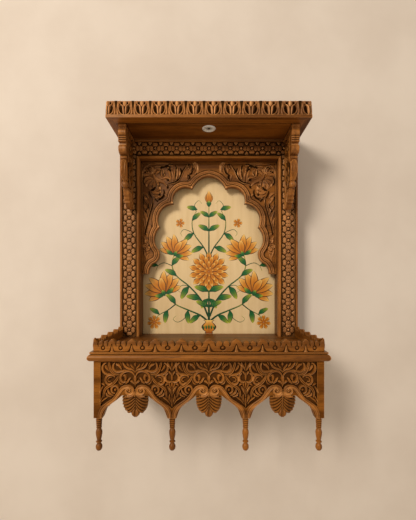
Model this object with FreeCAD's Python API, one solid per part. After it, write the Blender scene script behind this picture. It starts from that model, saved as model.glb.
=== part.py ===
import FreeCAD, Part
import math
import os

# A carved wooden wall mandir. All sizes are in millimetres.
# X runs to the right, Y into the wall and Z up. The origin lies on the wall,
# in the middle of the mandir, level with the top of the shelf.

# Case, measured from the wall and from the top of the shelf
case_width = 584.0
case_height = 642.0
case_depth = 84.0
back_thickness = 12.0
back_drop = 110.0
picture_thickness = 6.0
side_thickness = 18.0
lining_thickness = 8.0

# Carved front frame
frame_thickness = 20.0
stile_width = 64.0
rail_height = 59.0
bead_width = 11.0
bead_rise = 4.0
groove_width = 2.0
groove_depth = 2.0

# Many-lobed arch inside the frame
arch_setback = 34.0
arch_thickness = 18.0
arch_foot_height = 206.0
arch_foot_width = 24.0
arch_crown_drop = 45.0
arch_bead_width = 10.5
arch_bead_rise = 3.0
arch_plain_band = 20.0
arch_plain_crown = 40.0
arch_carving_margin = 4.0
arch_carving_foot = 36.0
arch_carving_depth = 5.0

# Canopy
canopy_height = 48.0
canopy_depth = 228.0
fascia_thickness = 18.0
fascia_fillet = 8.0
fascia_recess = 4.0
soffit_thickness = 8.0
soffit_line_inset = 16.0
soffit_line_width = 3.0
soffit_line_depth = 2.0
canopy_lid_thickness = 6.0
cornice_size = 6.0

# Lamp in the soffit
lamp_distance = 162.0
lamp_flange_radius = 20.5
lamp_body_radius = 15.5
lamp_lens_radius = 11.5
lamp_flange_thickness = 2.0
lamp_body_depth = 20.0
lamp_clearance = 0.3

# Brackets under the canopy
bracket_thickness = 24.0
bracket_projection = 111.0
bracket_drop = 235.0
bracket_inset = 25.0

# Shelf and its rounded edge
shelf_depth = 320.0
shelf_thickness = 23.0
nosing_overhang = 13.0
nosing_fillet_height = 4.0
nosing_fillet_overhang = 8.0
nosing_quirk = 1.0

# Low carved rail on the shelf
gallery_height = 32.5
gallery_thickness = 12.0
gallery_pitch = 58.0
gallery_side_units = 4
gallery_end_margin = 25.0
gallery_middle_stretch = 0.19

# Apron under the shelf
apron_drop = 145.4
apron_thickness = 18.0
pillar_width = 22.0
front_bays = 3
side_bays = 2
apron_end_strip = 17.4
apron_top_strip = 3.0
apron_carving_depth = 6.0
volute_radius = 13.3
volute_spacing = 31.6
volute_height = 71.0
volute_lip = 3.0
volute_groove_width = 1.8
volute_groove_depth = 2.5
volute_turns = 4

# Hanging leaves under the volutes
leaf_width = 63.0
leaf_thickness = 12.0
leaf_rib_rise = 3.0
leaf_ribs = 6
leaf_rib_fall = 6.0
leaf_tip_width = 18.0
leaf_tip_height = 14.0

# Turned drops under the pillars
drop_length = 86.0
drop_radius = 8.4
drop_sides = 16

# Fixing holes in the back board, inside the canopy
screw_spacing = 400.0
screw_hole_radius = 3.5
cable_hole_radius = 5.0

# Places that follow from the sizes above
half_width = case_width / 2
gallery_front_units = round(case_width / gallery_pitch)
frame_face = -case_depth
frame_back = frame_face + frame_thickness
picture_face = -back_thickness - picture_thickness
opening_half = half_width - stile_width
opening_top = case_height - rail_height
canopy_top_level = case_height + canopy_height
shelf_under = -shelf_thickness
apron_foot = shelf_under - apron_drop
volute_level = apron_foot + volute_height
leaf_top = volute_level - volute_radius
hole_level = case_height + (soffit_thickness + canopy_height - canopy_lid_thickness) / 2


def point(x, y, z):
    return FreeCAD.Vector(x, y, z)


def board(x0, x1, y0, y1, z0, z1):
    """A plain board between three pairs of values."""
    return Part.makeBox(x1 - x0, y1 - y0, z1 - z0, point(x0, y0, z0))


def path_edges(start, steps, place):
    """Edges from a start point. A step of two values is a straight run, one of four is an arc
    through its first point to its second. place turns two plane values into a point."""
    edges = []
    here = start
    for step in steps:
        end = step[-2:]
        if len(step) == 4:
            edges.append(Part.Arc(place(*here), place(*step[:2]), place(*end)).toShape())
        else:
            edges.append(Part.LineSegment(place(*here), place(*end)).toShape())
        here = end
    return edges


def face_of(start, steps, place):
    """A flat face whose outline closes back on its start."""
    return Part.Face(Part.Wire(path_edges(start, list(steps) + [start], place)))


def in_front_view(y):
    """Plane values are X and Z, at the depth y."""
    return lambda x, z: point(x, y, z)


def in_side_view(x):
    """Plane values are the distance out from the wall and Z, at the place x."""
    return lambda out, z: point(x, -out, z)


def in_plan(z):
    """Plane values are X and Y, at the height z."""
    return lambda x, y: point(x, y, z)


def mirrored(shape):
    """The same piece for the other side."""
    return shape.mirror(point(0, 0, 0), point(1, 0, 0))


def frame_section(width, outer_bead):
    """Outline of a frame member: distance from the opening, then height above its back."""
    field = frame_thickness - bead_rise
    trench = field - groove_depth
    steps = [
        (0, field),
        (bead_width / 2, frame_thickness, bead_width, field),
        (bead_width, trench),
        (bead_width + groove_width, trench),
        (bead_width + groove_width, field),
    ]
    if outer_bead:
        inner = width - bead_width
        steps += [
            (inner - groove_width, field),
            (inner - groove_width, trench),
            (inner, trench),
            (inner, field),
            (width - bead_width / 2, frame_thickness, width, field),
        ]
    else:
        steps += [(width, field)]
    return steps + [(width, 0)]


def right_stile():
    """Upright of the frame, mitred into the rail at the top inner corner."""
    profile = face_of((0, 0), frame_section(stile_width, True),
                      lambda u, v: point(opening_half + u, frame_back - v, 0))
    bar = profile.extrude(point(0, 0, case_height))
    outline = [(half_width, 0), (half_width, case_height),
               (opening_half + rail_height, case_height), (opening_half, opening_top)]
    mitre = face_of((opening_half, 0), outline, in_front_view(frame_face))
    return bar.common(mitre.extrude(point(0, frame_thickness, 0)))


def top_rail():
    """Head of the frame between the mitres."""
    profile = face_of((0, 0), frame_section(rail_height, False),
                      lambda u, v: point(-half_width, frame_back - v, opening_top + u))
    bar = profile.extrude(point(case_width, 0, 0))
    reach = opening_half + rail_height
    outline = [(opening_half, opening_top), (reach, case_height), (-reach, case_height)]
    mitre = face_of((-opening_half, opening_top), outline, in_front_view(frame_face))
    return bar.common(mitre.extrude(point(0, frame_thickness, 0)))


def arch_edge(y):
    """Edge of the arch from the left foot over the crown to the right foot.
    The outline is a share of the half span and of the rise."""
    half_span = opening_half - arch_foot_width
    rise = opening_top - arch_crown_drop - arch_foot_height
    right_half = [
        (0.155, 0.965, 0.278, 0.867),
        (0.539, 0.849, 0.590, 0.717),
        (0.842, 0.595, 0.818, 0.478),
        (0.905, 0.366, 0.866, 0.272),
        (0.818, 0.200, 0.930, 0.106),
        (0.984, 0.060, 1.000, 0.000),
    ]
    ends = [(0.0, 1.0)] + [step[2:] for step in right_half]
    left_half = []
    for i in range(len(right_half) - 1, -1, -1):
        middle = right_half[i][:2]
        left_half.append((-middle[0], middle[1], -ends[i][0], ends[i][1]))
    share = in_front_view(y)

    def place(u, v):
        return share(u * half_span, arch_foot_height + v * rise)

    return Part.Wire(path_edges((-1.0, 0.0), left_half + right_half, place))


def arch_carving(y):
    """Sunk ground of the carving in the two upper corners, outside the plain band and crown."""
    edge = arch_edge(y)
    sill = Part.LineSegment(edge.OrderedVertexes[-1].Point, edge.OrderedVertexes[0].Point).toShape()
    grown = Part.Face(Part.Wire(edge.OrderedEdges + [sill])).makeOffset2D(arch_plain_band)
    half = opening_half - arch_carving_margin
    low = arch_foot_height + arch_carving_foot
    high = opening_top - arch_carving_margin
    ground = face_of((-half, low), [(half, low), (half, high), (-half, high)], in_front_view(y))
    crown = face_of((-arch_plain_crown, low),
                    [(arch_plain_crown, low), (arch_plain_crown, high), (-arch_plain_crown, high)],
                    in_front_view(y))
    return ground.cut(grown).cut(crown).extrude(point(0, arch_carving_depth, 0))


def arch_panel():
    """Board that fills the top of the niche round the arch, sunk in the corners for the carving."""
    y = frame_face + arch_setback
    edge = arch_edge(y)
    left_foot = edge.OrderedVertexes[0].Point
    right_foot = edge.OrderedVertexes[-1].Point
    corners = [right_foot, point(opening_half, y, arch_foot_height), point(opening_half, y, opening_top),
               point(-opening_half, y, opening_top), point(-opening_half, y, arch_foot_height), left_foot]
    sides = [Part.LineSegment(a, b).toShape() for a, b in zip(corners, corners[1:])]
    outline = Part.Wire(edge.OrderedEdges + sides)
    panel = Part.Face(outline).extrude(point(0, arch_thickness, 0))
    return panel.cut(arch_carving(y))


def arch_bead():
    """Raised moulding on the face of the arch panel, along the edge of the arch."""
    y = frame_face + arch_setback
    edge = arch_edge(y)
    inner = edge.makeOffset2D(arch_bead_width, 2, False, True)
    if inner.BoundBox.ZMax < edge.BoundBox.ZMax:
        inner = edge.makeOffset2D(-arch_bead_width, 2, False, True)
    ends = [(edge.OrderedVertexes[i].Point, inner.OrderedVertexes[i].Point) for i in (0, -1)]
    caps = [Part.LineSegment(a, b).toShape() for a, b in ends]
    ring = Part.Wire(Part.__sortEdges__(edge.Edges + inner.Edges + caps))
    strip = Part.Face(ring).extrude(point(0, -arch_bead_rise, 0))
    below_foot = board(-half_width, half_width, y - arch_bead_rise, y, 0, arch_foot_height)
    return strip.cut(below_foot)


def fascia_section():
    """Outline of the canopy edge: distance out from its back, then height."""
    face = fascia_thickness - fascia_recess
    return [
        (fascia_thickness, 0),
        (fascia_thickness, fascia_fillet),
        (face, fascia_fillet),
        (face, canopy_height),
        (0, canopy_height),
    ]


def canopy_fascias():
    """Front and side edges of the canopy, mitred at the corners."""
    back_line = fascia_thickness - canopy_depth
    inner = half_width - fascia_thickness
    profile = face_of((0, 0), fascia_section(),
                      lambda out, h: point(-half_width, back_line - out, case_height + h))
    front = profile.extrude(point(case_width, 0, 0))
    trapezoid = face_of((-half_width, -canopy_depth),
                        [(half_width, -canopy_depth), (inner, back_line), (-inner, back_line)],
                        in_plan(case_height))
    front = front.common(trapezoid.extrude(point(0, 0, canopy_height)))
    profile = face_of((0, 0), fascia_section(),
                      lambda out, h: point(inner + out, -canopy_depth, case_height + h))
    side = profile.extrude(point(0, canopy_depth - back_thickness, 0))
    trapezoid = face_of((half_width, -canopy_depth),
                        [(half_width, -back_thickness), (inner, -back_thickness), (inner, back_line)],
                        in_plan(case_height))
    side = side.common(trapezoid.extrude(point(0, 0, canopy_height)))
    return front, side


def canopy_soffit():
    """Underside board of the canopy, with a scored border and the hole for the lamp."""
    inner = half_width - fascia_thickness
    front = fascia_thickness - canopy_depth
    slab = board(-inner, inner, front, -back_thickness, case_height, case_height + soffit_thickness)
    far = inner - soffit_line_inset
    line_front = front + soffit_line_inset
    line_top = case_height + soffit_line_depth
    border = board(-far, far, line_front, frame_face, case_height, line_top)
    field = board(soffit_line_width - far, far - soffit_line_width, line_front + soffit_line_width,
                  frame_face, case_height, line_top)
    slab = slab.cut(border.cut(field))
    hole = Part.makeCylinder(lamp_body_radius + lamp_clearance, soffit_thickness,
                             point(0, -lamp_distance, case_height))
    return slab.cut(hole)


def canopy_lid():
    """Board that lies in the top of the canopy and lifts out for the screws and the wiring."""
    inner = half_width - fascia_thickness
    return board(-inner, inner, fascia_thickness - canopy_depth, -back_thickness,
                 canopy_top_level - canopy_lid_thickness, canopy_top_level)


def turned(profile, x, y):
    """A body of revolution about the vertical line at x, y. The profile holds radius and height."""
    start = profile[0]
    face = face_of(start, profile[1:], lambda r, z: point(x + r, y, z))
    return face.revolve(point(x, y, 0), point(0, 0, 1), 360)


def downlight_ring():
    """White ring of the lamp: a flange against the soffit and a short can through it."""
    z = case_height
    profile = [
        (lamp_lens_radius, z - lamp_flange_thickness / 2),
        (lamp_body_radius, z - lamp_flange_thickness),
        (lamp_flange_radius - lamp_flange_thickness, z - lamp_flange_thickness),
        (lamp_flange_radius, z),
        (lamp_body_radius, z),
        (lamp_body_radius, z + lamp_body_depth),
        (lamp_lens_radius, z + lamp_body_depth),
    ]
    return turned(profile, 0, -lamp_distance)


def downlight_lens():
    """Lens and light source inside the ring."""
    z = case_height
    radius = lamp_lens_radius
    profile = [(0, z), (radius, z), (radius, z + lamp_body_depth), (0, z + lamp_body_depth)]
    return turned(profile, 0, -lamp_distance)


def cornice_strip():
    """Small quarter round between the brackets, where the soffit meets the frame."""
    reach = half_width - bracket_inset - bracket_thickness
    corner = case_depth
    section = face_of((corner, case_height),
                      [(corner + cornice_size, case_height),
                       (corner + cornice_size * 0.7, case_height - cornice_size * 0.7,
                        corner, case_height - cornice_size)],
                      in_side_view(-reach))
    return section.extrude(point(2 * reach, 0, 0))


def right_bracket():
    """Scroll bracket: cap, block, three reeds, a lobe, a curl, a long leaf, a ball and an end leaf.
    The outline is a share of the projection and of the drop."""
    shape = [
        (1.000, 0.000), (1.010, 0.018, 0.985, 0.037), (0.955, 0.037), (0.955, 0.060),
        (0.985, 0.060), (1.010, 0.100, 0.985, 0.143), (0.940, 0.143),
        (0.966, 0.156, 0.940, 0.169), (0.966, 0.182, 0.940, 0.195), (0.966, 0.208, 0.940, 0.221),
        (0.890, 0.221), (0.890, 0.244), (0.960, 0.290, 0.850, 0.362), (0.800, 0.362),
        (0.850, 0.391, 0.790, 0.418), (0.845, 0.520, 0.680, 0.668), (0.650, 0.668),
        (0.734, 0.708, 0.650, 0.748), (0.600, 0.748), (0.610, 0.770), (0.560, 0.770),
        (0.440, 0.890, 0.260, 0.965), (0.120, 0.975, 0.000, 0.940),
    ]
    steps = []
    for step in shape:
        outs = [case_depth + value * bracket_projection for value in step[0::2]]
        levels = [case_height - value * bracket_drop for value in step[1::2]]
        steps.append(tuple(value for pair in zip(outs, levels) for value in pair))
    x = half_width - bracket_inset - bracket_thickness
    side = face_of((case_depth, case_height), steps, in_side_view(x))
    return side.extrude(point(bracket_thickness, 0, 0))


def nosings():
    """Rounded front and side edges of the shelf: a flat fillet, a quirk and a half round."""
    radius = (shelf_thickness - nosing_fillet_height - nosing_quirk) / 2
    root = nosing_overhang - radius
    steps = [
        (nosing_fillet_overhang, 0),
        (nosing_fillet_overhang, -nosing_fillet_height),
        (root, -nosing_fillet_height),
        (root, -nosing_fillet_height - nosing_quirk),
        (nosing_overhang, shelf_under + radius, root, shelf_under),
        (0, shelf_under),
    ]
    outer = half_width + nosing_overhang
    tip = -shelf_depth - nosing_overhang
    profile = face_of((0, 0), steps, lambda out, z: point(-outer, -shelf_depth - out, z))
    front = profile.extrude(point(2 * outer, 0, 0))
    trapezoid = face_of((-outer, tip), [(outer, tip), (half_width, -shelf_depth), (-half_width, -shelf_depth)],
                        in_plan(shelf_under))
    front = front.common(trapezoid.extrude(point(0, 0, shelf_thickness)))
    profile = face_of((0, 0), steps, lambda out, z: point(half_width + out, tip, z))
    side = profile.extrude(point(0, -tip, 0))
    trapezoid = face_of((outer, tip), [(outer, 0), (half_width, 0), (half_width, -shelf_depth)],
                        in_plan(shelf_under))
    side = side.common(trapezoid.extrude(point(0, 0, shelf_thickness)))
    return front, side


def gallery_outline(length, centres):
    """Top edge of the low rail from left to right: over each flower two lobes with a slit between
    them, and a peak between one flower and the next."""
    lobe = gallery_height * 0.83
    shoulder = gallery_height * 0.71
    valley = gallery_height * 0.59
    slit = gallery_height * 0.52
    borders = [0.0] + [(a + b) / 2 for a, b in zip(centres, centres[1:])] + [length]
    steps = []
    for i, centre in enumerate(centres):
        left = centre - borders[i]
        right = borders[i + 1] - centre
        steps += [
            (centre - left * 0.80, gallery_height * 0.90, centre - left * 0.55, shoulder),
            (centre - left * 0.55, valley),
            (centre - left * 0.50, valley),
            (centre - left * 0.28, lobe, centre - left * 0.06, shoulder),
            (centre, slit),
            (centre + right * 0.06, shoulder),
            (centre + right * 0.28, lobe, centre + right * 0.50, valley),
            (centre + right * 0.55, valley),
            (centre + right * 0.55, shoulder),
            (centre + right * 0.80, gallery_height * 0.90, borders[i + 1], gallery_height),
        ]
    return steps


def gallery(length, centres):
    """A length of the low rail, standing on the shelf from x = 0, with its face at y = 0."""
    steps = gallery_outline(length, centres) + [(length, 0), (0, 0)]
    outline = face_of((0.0, gallery_height), steps, in_front_view(0))
    return outline.extrude(point(0, gallery_thickness, 0))


def front_gallery():
    """The rail along the front, with wider units towards the middle."""
    reach = half_width - gallery_end_margin
    last = gallery_front_units - 1
    centres = []
    for i in range(gallery_front_units):
        share = 2 * i / last - 1
        stretched = share * (1 + gallery_middle_stretch * (1 - share * share))
        centres.append(half_width + reach * stretched)
    rail = gallery(case_width, centres)
    rail.translate(point(-half_width, -shelf_depth, 0))
    return rail


def right_gallery():
    """The rail along the side, from the front rail to the frame."""
    length = shelf_depth - gallery_thickness - case_depth
    pitch = length / gallery_side_units
    centres = [pitch * (i + 0.5) for i in range(gallery_side_units)]
    rail = gallery(length, centres)
    rail.rotate(point(0, 0, 0), point(0, 0, 1), 90)
    rail.translate(point(half_width, gallery_thickness - shelf_depth, 0))
    return rail


def between(pillar, leaf, shape, start, reach):
    """Points from a pillar towards a leaf: shares of the reach across and of the volute height up."""
    way = 1 if leaf > pillar else -1
    return [(pillar + way * (start + across * reach), apron_foot + up * volute_height) for across, up in shape]


def ogee_lower(pillar, leaf):
    """Lower edge of the ogee band, from the pillar foot to beside the hanging leaf."""
    start = pillar_width / 2
    reach = abs(leaf - pillar) - volute_spacing / 2 - volute_radius - start
    shape = [(0.0, 0.0), (0.084, 0.165), (0.188, 0.344), (0.371, 0.482), (0.582, 0.600), (0.791, 0.720),
             (0.897, 0.790)]
    return between(pillar, leaf, shape, start, reach)


def ogee_upper(pillar, leaf):
    """Upper edge of the ogee band, from over the pillar, over the volute and down beside the leaf axis."""
    reach = abs(leaf - pillar) - volute_spacing / 2
    shape = [(0.0, 0.337), (0.199, 0.501), (0.397, 0.639), (0.524, 0.779), (0.650, 0.956), (0.739, 1.095),
             (0.849, 1.170)]
    way = math.copysign(1, leaf - pillar)
    centre = leaf - way * volute_spacing / 2
    over = [(centre + way * volute_radius * math.sin(math.radians(turn)),
             volute_level + volute_radius * math.cos(math.radians(turn))) for turn in (0, 40, 80)]
    return between(pillar, leaf, shape, 0.0, reach) + over


def curve_through(points, place):
    curve = Part.BSplineCurve()
    curve.interpolate([place(*p) for p in points])
    return curve.toShape()


def pieced_outline(parts, place):
    """A face from corner points and curves. A curve is a list of points, and straight runs join all."""
    edges = []
    flat = []
    for part in parts:
        if isinstance(part, list):
            flat.append((part[0], part[-1], curve_through(part, place)))
        else:
            flat.append((part, part, None))
    for i, (first, last, curve) in enumerate(flat):
        if curve is not None:
            edges.append(curve)
        following = flat[(i + 1) % len(flat)][0]
        edges.append(Part.LineSegment(place(*last), place(*following)).toShape())
    return Part.Face(Part.Wire(edges))


def volute_groove(x, way):
    """Scroll-shaped groove in the volute at x, of half circles that shrink about two centres.
    way is 1 where the lip comes over the top from the left and -1 where it comes from the right."""
    place = in_front_view(0)
    half = volute_groove_width / 2
    first = volute_radius - volute_lip - half
    shrink = (first - volute_groove_width) / volute_turns
    rims = []
    for offset in (half, -half):
        steps = []
        for i in range(volute_turns):
            radius = first - i * shrink + offset
            centre = volute_level - (i % 2) * shrink
            down = 1 if i % 2 == 0 else -1
            steps.append((x + way * down * radius, centre, x, centre - down * radius))
        rims.append(((x, volute_level + first + offset), steps))
    (start, outer), (far_start, inner) = rims
    ends = [far_start] + [step[-2:] for step in inner]
    back = [inner[i][:2] + ends[i] for i in range(volute_turns - 1, -1, -1)]
    return face_of(start, outer + [ends[-1]] + back, place)


def apron(length, bays):
    """A carved apron board from x = 0, with its face at y = 0: pillars at the ends and between the
    bays, an ogee arch with two volutes in each bay, and the carving ground sunk above the bands."""
    place = in_front_view(0)
    pitch = (length - pillar_width) / bays
    outline = [(0.0, apron_foot)]
    grooves = []
    ground = face_of((apron_end_strip, apron_foot),
                     [(length - apron_end_strip, apron_foot),
                      (length - apron_end_strip, shelf_under - apron_top_strip),
                      (apron_end_strip, shelf_under - apron_top_strip)], place)
    for i in range(bays):
        left = pillar_width / 2 + i * pitch
        right = left + pitch
        middle = (left + right) / 2
        outline += [ogee_lower(left, middle), (middle - leaf_width / 2, leaf_top),
                    (middle + leaf_width / 2, leaf_top), ogee_lower(right, middle)[::-1]]
        below = apron_foot - pillar_width
        band = pieced_outline([(left, below), ogee_upper(left, middle), ogee_upper(right, middle)[::-1],
                               (right, below)], place)
        ground = ground.cut(band)
        grooves += [volute_groove(middle - volute_spacing / 2, 1), volute_groove(middle + volute_spacing / 2, -1)]
    outline += [(length, apron_foot), (length, shelf_under), (0.0, shelf_under)]
    slab = pieced_outline(outline, place).extrude(point(0, apron_thickness, 0))
    for i in (0, bays):
        foot = i * pitch
        post = face_of((foot, apron_foot),
                       [(foot + pillar_width, apron_foot), (foot + pillar_width / 2, volute_level)], place)
        ground = ground.cut(post)
    slab = slab.cut(ground.extrude(point(0, apron_carving_depth, 0)))
    for groove in grooves:
        slab = slab.cut(groove.extrude(point(0, volute_groove_depth, 0)))
    return slab


def side_apron_length():
    return shelf_depth - back_thickness


def front_apron():
    shape = apron(case_width, front_bays)
    shape.translate(point(-half_width, -shelf_depth, 0))
    return shape


def right_apron():
    """The side apron runs from behind the front apron to the back board."""
    length = side_apron_length()
    shape = apron(length, side_bays)
    front_end = board(0, apron_thickness, 0, apron_thickness, apron_foot, shelf_under)
    shape = shape.cut(front_end)
    shape.rotate(point(0, 0, 0), point(0, 0, 1), 90)
    shape.translate(point(half_width, -shelf_depth, 0))
    return shape


def flat_sided(rings):
    """A solid with flat sides from rings of points, closed by its first and its last ring."""
    facets = [rings[0], rings[-1]]
    for upper, lower in zip(rings, rings[1:]):
        facets += [[upper[k - 1], upper[k], lower[k], lower[k - 1]] for k in range(len(upper))]
    faces = [Part.Face(Part.makePolygon(corners + corners[:1])) for corners in facets]
    return Part.Solid(Part.Shell(faces))


def leaf_plate():
    """Back of the leaf: a scalloped edge down each side and a pointed lobe at the tip."""
    half = leaf_width / 2
    side_height = leaf_top - apron_foot - leaf_tip_height
    step = side_height / leaf_ribs
    widths = []
    for i in range(leaf_ribs + 1):
        share = i / leaf_ribs
        widths.append(half * (0.90 + 0.55 * share - 0.95 * share ** 2))
    right = []
    for i in range(leaf_ribs):
        top, low = -i * step, -(i + 1) * step
        right.append((widths[i] + leaf_rib_rise * 0.4, (top + low) / 2, widths[i + 1], low))
    tip = leaf_tip_width / 2
    right += [(tip, -side_height),
              (tip * 0.9, -side_height - leaf_tip_height * 0.55, 0.0, -side_height - leaf_tip_height)]
    ends = [(widths[0], 0.0)] + [step[-2:] for step in right]
    left = []
    for i in range(len(right) - 1, -1, -1):
        middle = (-right[i][0], right[i][1]) if len(right[i]) == 4 else ()
        left.append(middle + (-ends[i][0], ends[i][1]))
    back = leaf_thickness / 2
    plate = face_of((widths[0], 0.0), right + left, in_front_view(back))
    return plate.extrude(point(0, leaf_rib_rise - leaf_thickness, 0)), widths, step


def leaf(x, y, turn):
    """A hanging leaf with a midrib and side ribs. Its flat top sits under the apron at x, y."""
    shape, widths, step = leaf_plate()
    face = leaf_rib_rise - leaf_thickness / 2

    def section(u, v, height):
        corners = [(v + height, face), (v, face - leaf_rib_rise * 0.9), (v - height, face)]
        ring = [point(u, depth, level) for level, depth in corners]
        return Part.makePolygon(ring + ring[:1])

    for i in range(leaf_ribs):
        root = -(i + 0.15) * step
        tip = root - leaf_rib_fall
        for side in (-1, 1):
            inner = section(side * 1.5, root, step * 0.40)
            outer = section(side * (widths[i + 1] - 1.0), tip, step * 0.30)
            shape = shape.fuse(Part.makeLoft([inner, outer], True, True))
    stem = Part.makeBox(3.0, leaf_rib_rise, leaf_top - apron_foot - leaf_tip_height * 0.5,
                        point(-1.5, face - leaf_rib_rise, apron_foot + leaf_tip_height * 0.5 - leaf_top))
    shape = shape.fuse(stem).removeSplitter()
    shape.rotate(point(0, 0, 0), point(0, 0, 1), turn)
    shape.translate(point(x, y, leaf_top))
    return shape


def drop(x, y):
    """A turned drop, cut as a many-sided solid: rings, a long vase, a bead, a neck and a ball."""
    shape = [
        (0.95, 0.0), (0.95, 0.03), (0.72, 0.045), (1.00, 0.08), (0.72, 0.12), (0.98, 0.165), (0.72, 0.21),
        (0.96, 0.255), (0.70, 0.30), (0.94, 0.34), (0.66, 0.37), (0.96, 0.43), (1.00, 0.49), (0.90, 0.60),
        (0.72, 0.70), (0.98, 0.735), (0.66, 0.775), (0.62, 0.80), (0.92, 0.845), (1.00, 0.895),
        (0.88, 0.955), (0.45, 1.0),
    ]
    rings = []
    for radius, down in shape:
        corners = []
        for k in range(drop_sides):
            angle = 2 * math.pi * (k + 0.5) / drop_sides
            corners.append(point(x + radius * drop_radius * math.cos(angle),
                                 y + radius * drop_radius * math.sin(angle),
                                 apron_foot - down * drop_length))
        rings.append(corners)
    return flat_sided(rings)


def back_board():
    """Board against the wall behind everything, with two screw holes and one for the lamp cable."""
    shape = board(-half_width, half_width, -back_thickness, 0, -back_drop, canopy_top_level)
    holes = [(-screw_spacing / 2, screw_hole_radius), (0.0, cable_hole_radius),
             (screw_spacing / 2, screw_hole_radius)]
    for x, radius in holes:
        shape = shape.cut(Part.makeCylinder(radius, back_thickness, point(x, 0, hole_level), point(0, -1, 0)))
    return shape


def fit_pieces():
    """Every piece under its name."""
    pieces = {}
    pieces["back_panel"] = back_board()
    outer = opening_half + lining_thickness
    lining_front = frame_back
    pieces["picture_panel"] = board(-outer, outer, picture_face, -back_thickness,
                                    0, opening_top + lining_thickness)
    side = board(half_width - side_thickness, half_width, frame_back, -back_thickness, 0, case_height)
    lining = board(opening_half, outer, lining_front, picture_face, 0, opening_top)
    pieces["top_lining"] = board(-outer, outer, lining_front, picture_face,
                                 opening_top, opening_top + lining_thickness)
    pieces["top_rail"] = top_rail()
    pieces["arch_panel"] = arch_panel()
    pieces["arch_bead"] = arch_bead()
    pieces["canopy_top"] = canopy_lid()
    pieces["canopy_soffit"] = canopy_soffit()
    fascia_front, fascia_side = canopy_fascias()
    pieces["canopy_front_fascia"] = fascia_front
    pieces["cornice_strip"] = cornice_strip()
    pieces["downlight_ring"] = downlight_ring()
    pieces["downlight_lens"] = downlight_lens()
    pieces["shelf_board"] = board(-half_width, half_width, -shelf_depth, -back_thickness, shelf_under, 0)
    nosing_front, nosing_side = nosings()
    pieces["nosing_front"] = nosing_front
    pieces["gallery_front"] = front_gallery()
    pieces["apron_front"] = front_apron()

    right_pieces = {
        "side_board": side,
        "lining": lining,
        "stile": right_stile(),
        "canopy_fascia": fascia_side,
        "bracket": right_bracket(),
        "nosing": nosing_side,
        "gallery": right_gallery(),
        "apron": right_apron(),
    }
    for name, shape in right_pieces.items():
        pieces["right_" + name] = shape
        pieces["left_" + name] = mirrored(shape)

    pitch = (case_width - pillar_width) / front_bays
    first = -half_width + pillar_width / 2
    board_middle = apron_thickness / 2 - shelf_depth
    for i in range(front_bays):
        pieces["leaf_%d" % (i + 1)] = leaf(first + (i + 0.5) * pitch, board_middle, 0)
    for i in range(front_bays + 1):
        pieces["drop_%d" % (i + 1)] = drop(first + i * pitch, board_middle)

    side_pitch = (side_apron_length() - pillar_width) / side_bays
    side_first = pillar_width / 2 - shelf_depth
    side_middle = half_width - apron_thickness / 2
    leaves = [leaf(side_middle, side_first + (i + 0.5) * side_pitch, 90) for i in range(side_bays)]
    pieces["side_leaves_right"] = Part.makeCompound(leaves)
    pieces["side_leaves_left"] = mirrored(pieces["side_leaves_right"])
    pieces["side_drops_right"] = drop(side_middle, side_first + side_bays * side_pitch)
    pieces["side_drops_left"] = mirrored(pieces["side_drops_right"])
    return pieces


os.makedirs("parts", exist_ok=True)
for node, solid in fit_pieces().items():
    if not solid.isValid():
        print("not valid:", node)
    solid.exportStep("parts/" + node + ".step")
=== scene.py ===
import cmath
import math

import bmesh
import bpy
from mathutils import Matrix, Vector


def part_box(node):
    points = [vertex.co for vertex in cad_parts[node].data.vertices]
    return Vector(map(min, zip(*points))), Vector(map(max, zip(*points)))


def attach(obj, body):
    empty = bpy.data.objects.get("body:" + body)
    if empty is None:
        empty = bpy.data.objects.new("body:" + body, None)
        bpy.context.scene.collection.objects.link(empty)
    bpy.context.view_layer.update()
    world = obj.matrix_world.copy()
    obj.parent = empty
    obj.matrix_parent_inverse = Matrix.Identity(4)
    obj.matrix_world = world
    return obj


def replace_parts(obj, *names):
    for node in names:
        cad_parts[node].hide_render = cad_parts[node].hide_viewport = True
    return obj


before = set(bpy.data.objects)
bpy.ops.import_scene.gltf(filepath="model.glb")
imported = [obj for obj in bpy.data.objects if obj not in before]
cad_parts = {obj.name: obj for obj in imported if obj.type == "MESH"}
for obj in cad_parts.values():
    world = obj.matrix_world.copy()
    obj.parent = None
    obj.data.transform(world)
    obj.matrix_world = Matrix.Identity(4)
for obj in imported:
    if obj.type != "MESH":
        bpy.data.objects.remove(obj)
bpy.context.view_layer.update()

# The mandir's place in the room: a pale plastered wall and a pale floor well below.
# The wall is open behind the back board, so that the back can be looked at too.
# Lengths are in metres. The eye is level, a little over a metre from the wall.
eye_distance = 1.130
eye_height = 0.169
focal_pixels = 320.0
image_height = 520.0
horizon_pixel = 285.0
middle_pixel = 208.9
image_width = 416.0
sensor = 36.0

camera_data = bpy.data.cameras.new("eye")
camera_data.sensor_width = sensor
camera_data.lens = focal_pixels / image_height * sensor
camera_data.shift_x = -(middle_pixel - image_width / 2) / image_height
camera_data.shift_y = (horizon_pixel - image_height / 2) / image_height
camera = bpy.data.objects.new("eye", camera_data)
camera.location = (0.0, -eye_distance, eye_height)
camera.rotation_euler = (math.radians(90), 0.0, 0.0)
bpy.context.collection.objects.link(camera)
bpy.context.scene.camera = camera
bpy.context.scene.view_settings.view_transform = "Standard"


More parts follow.
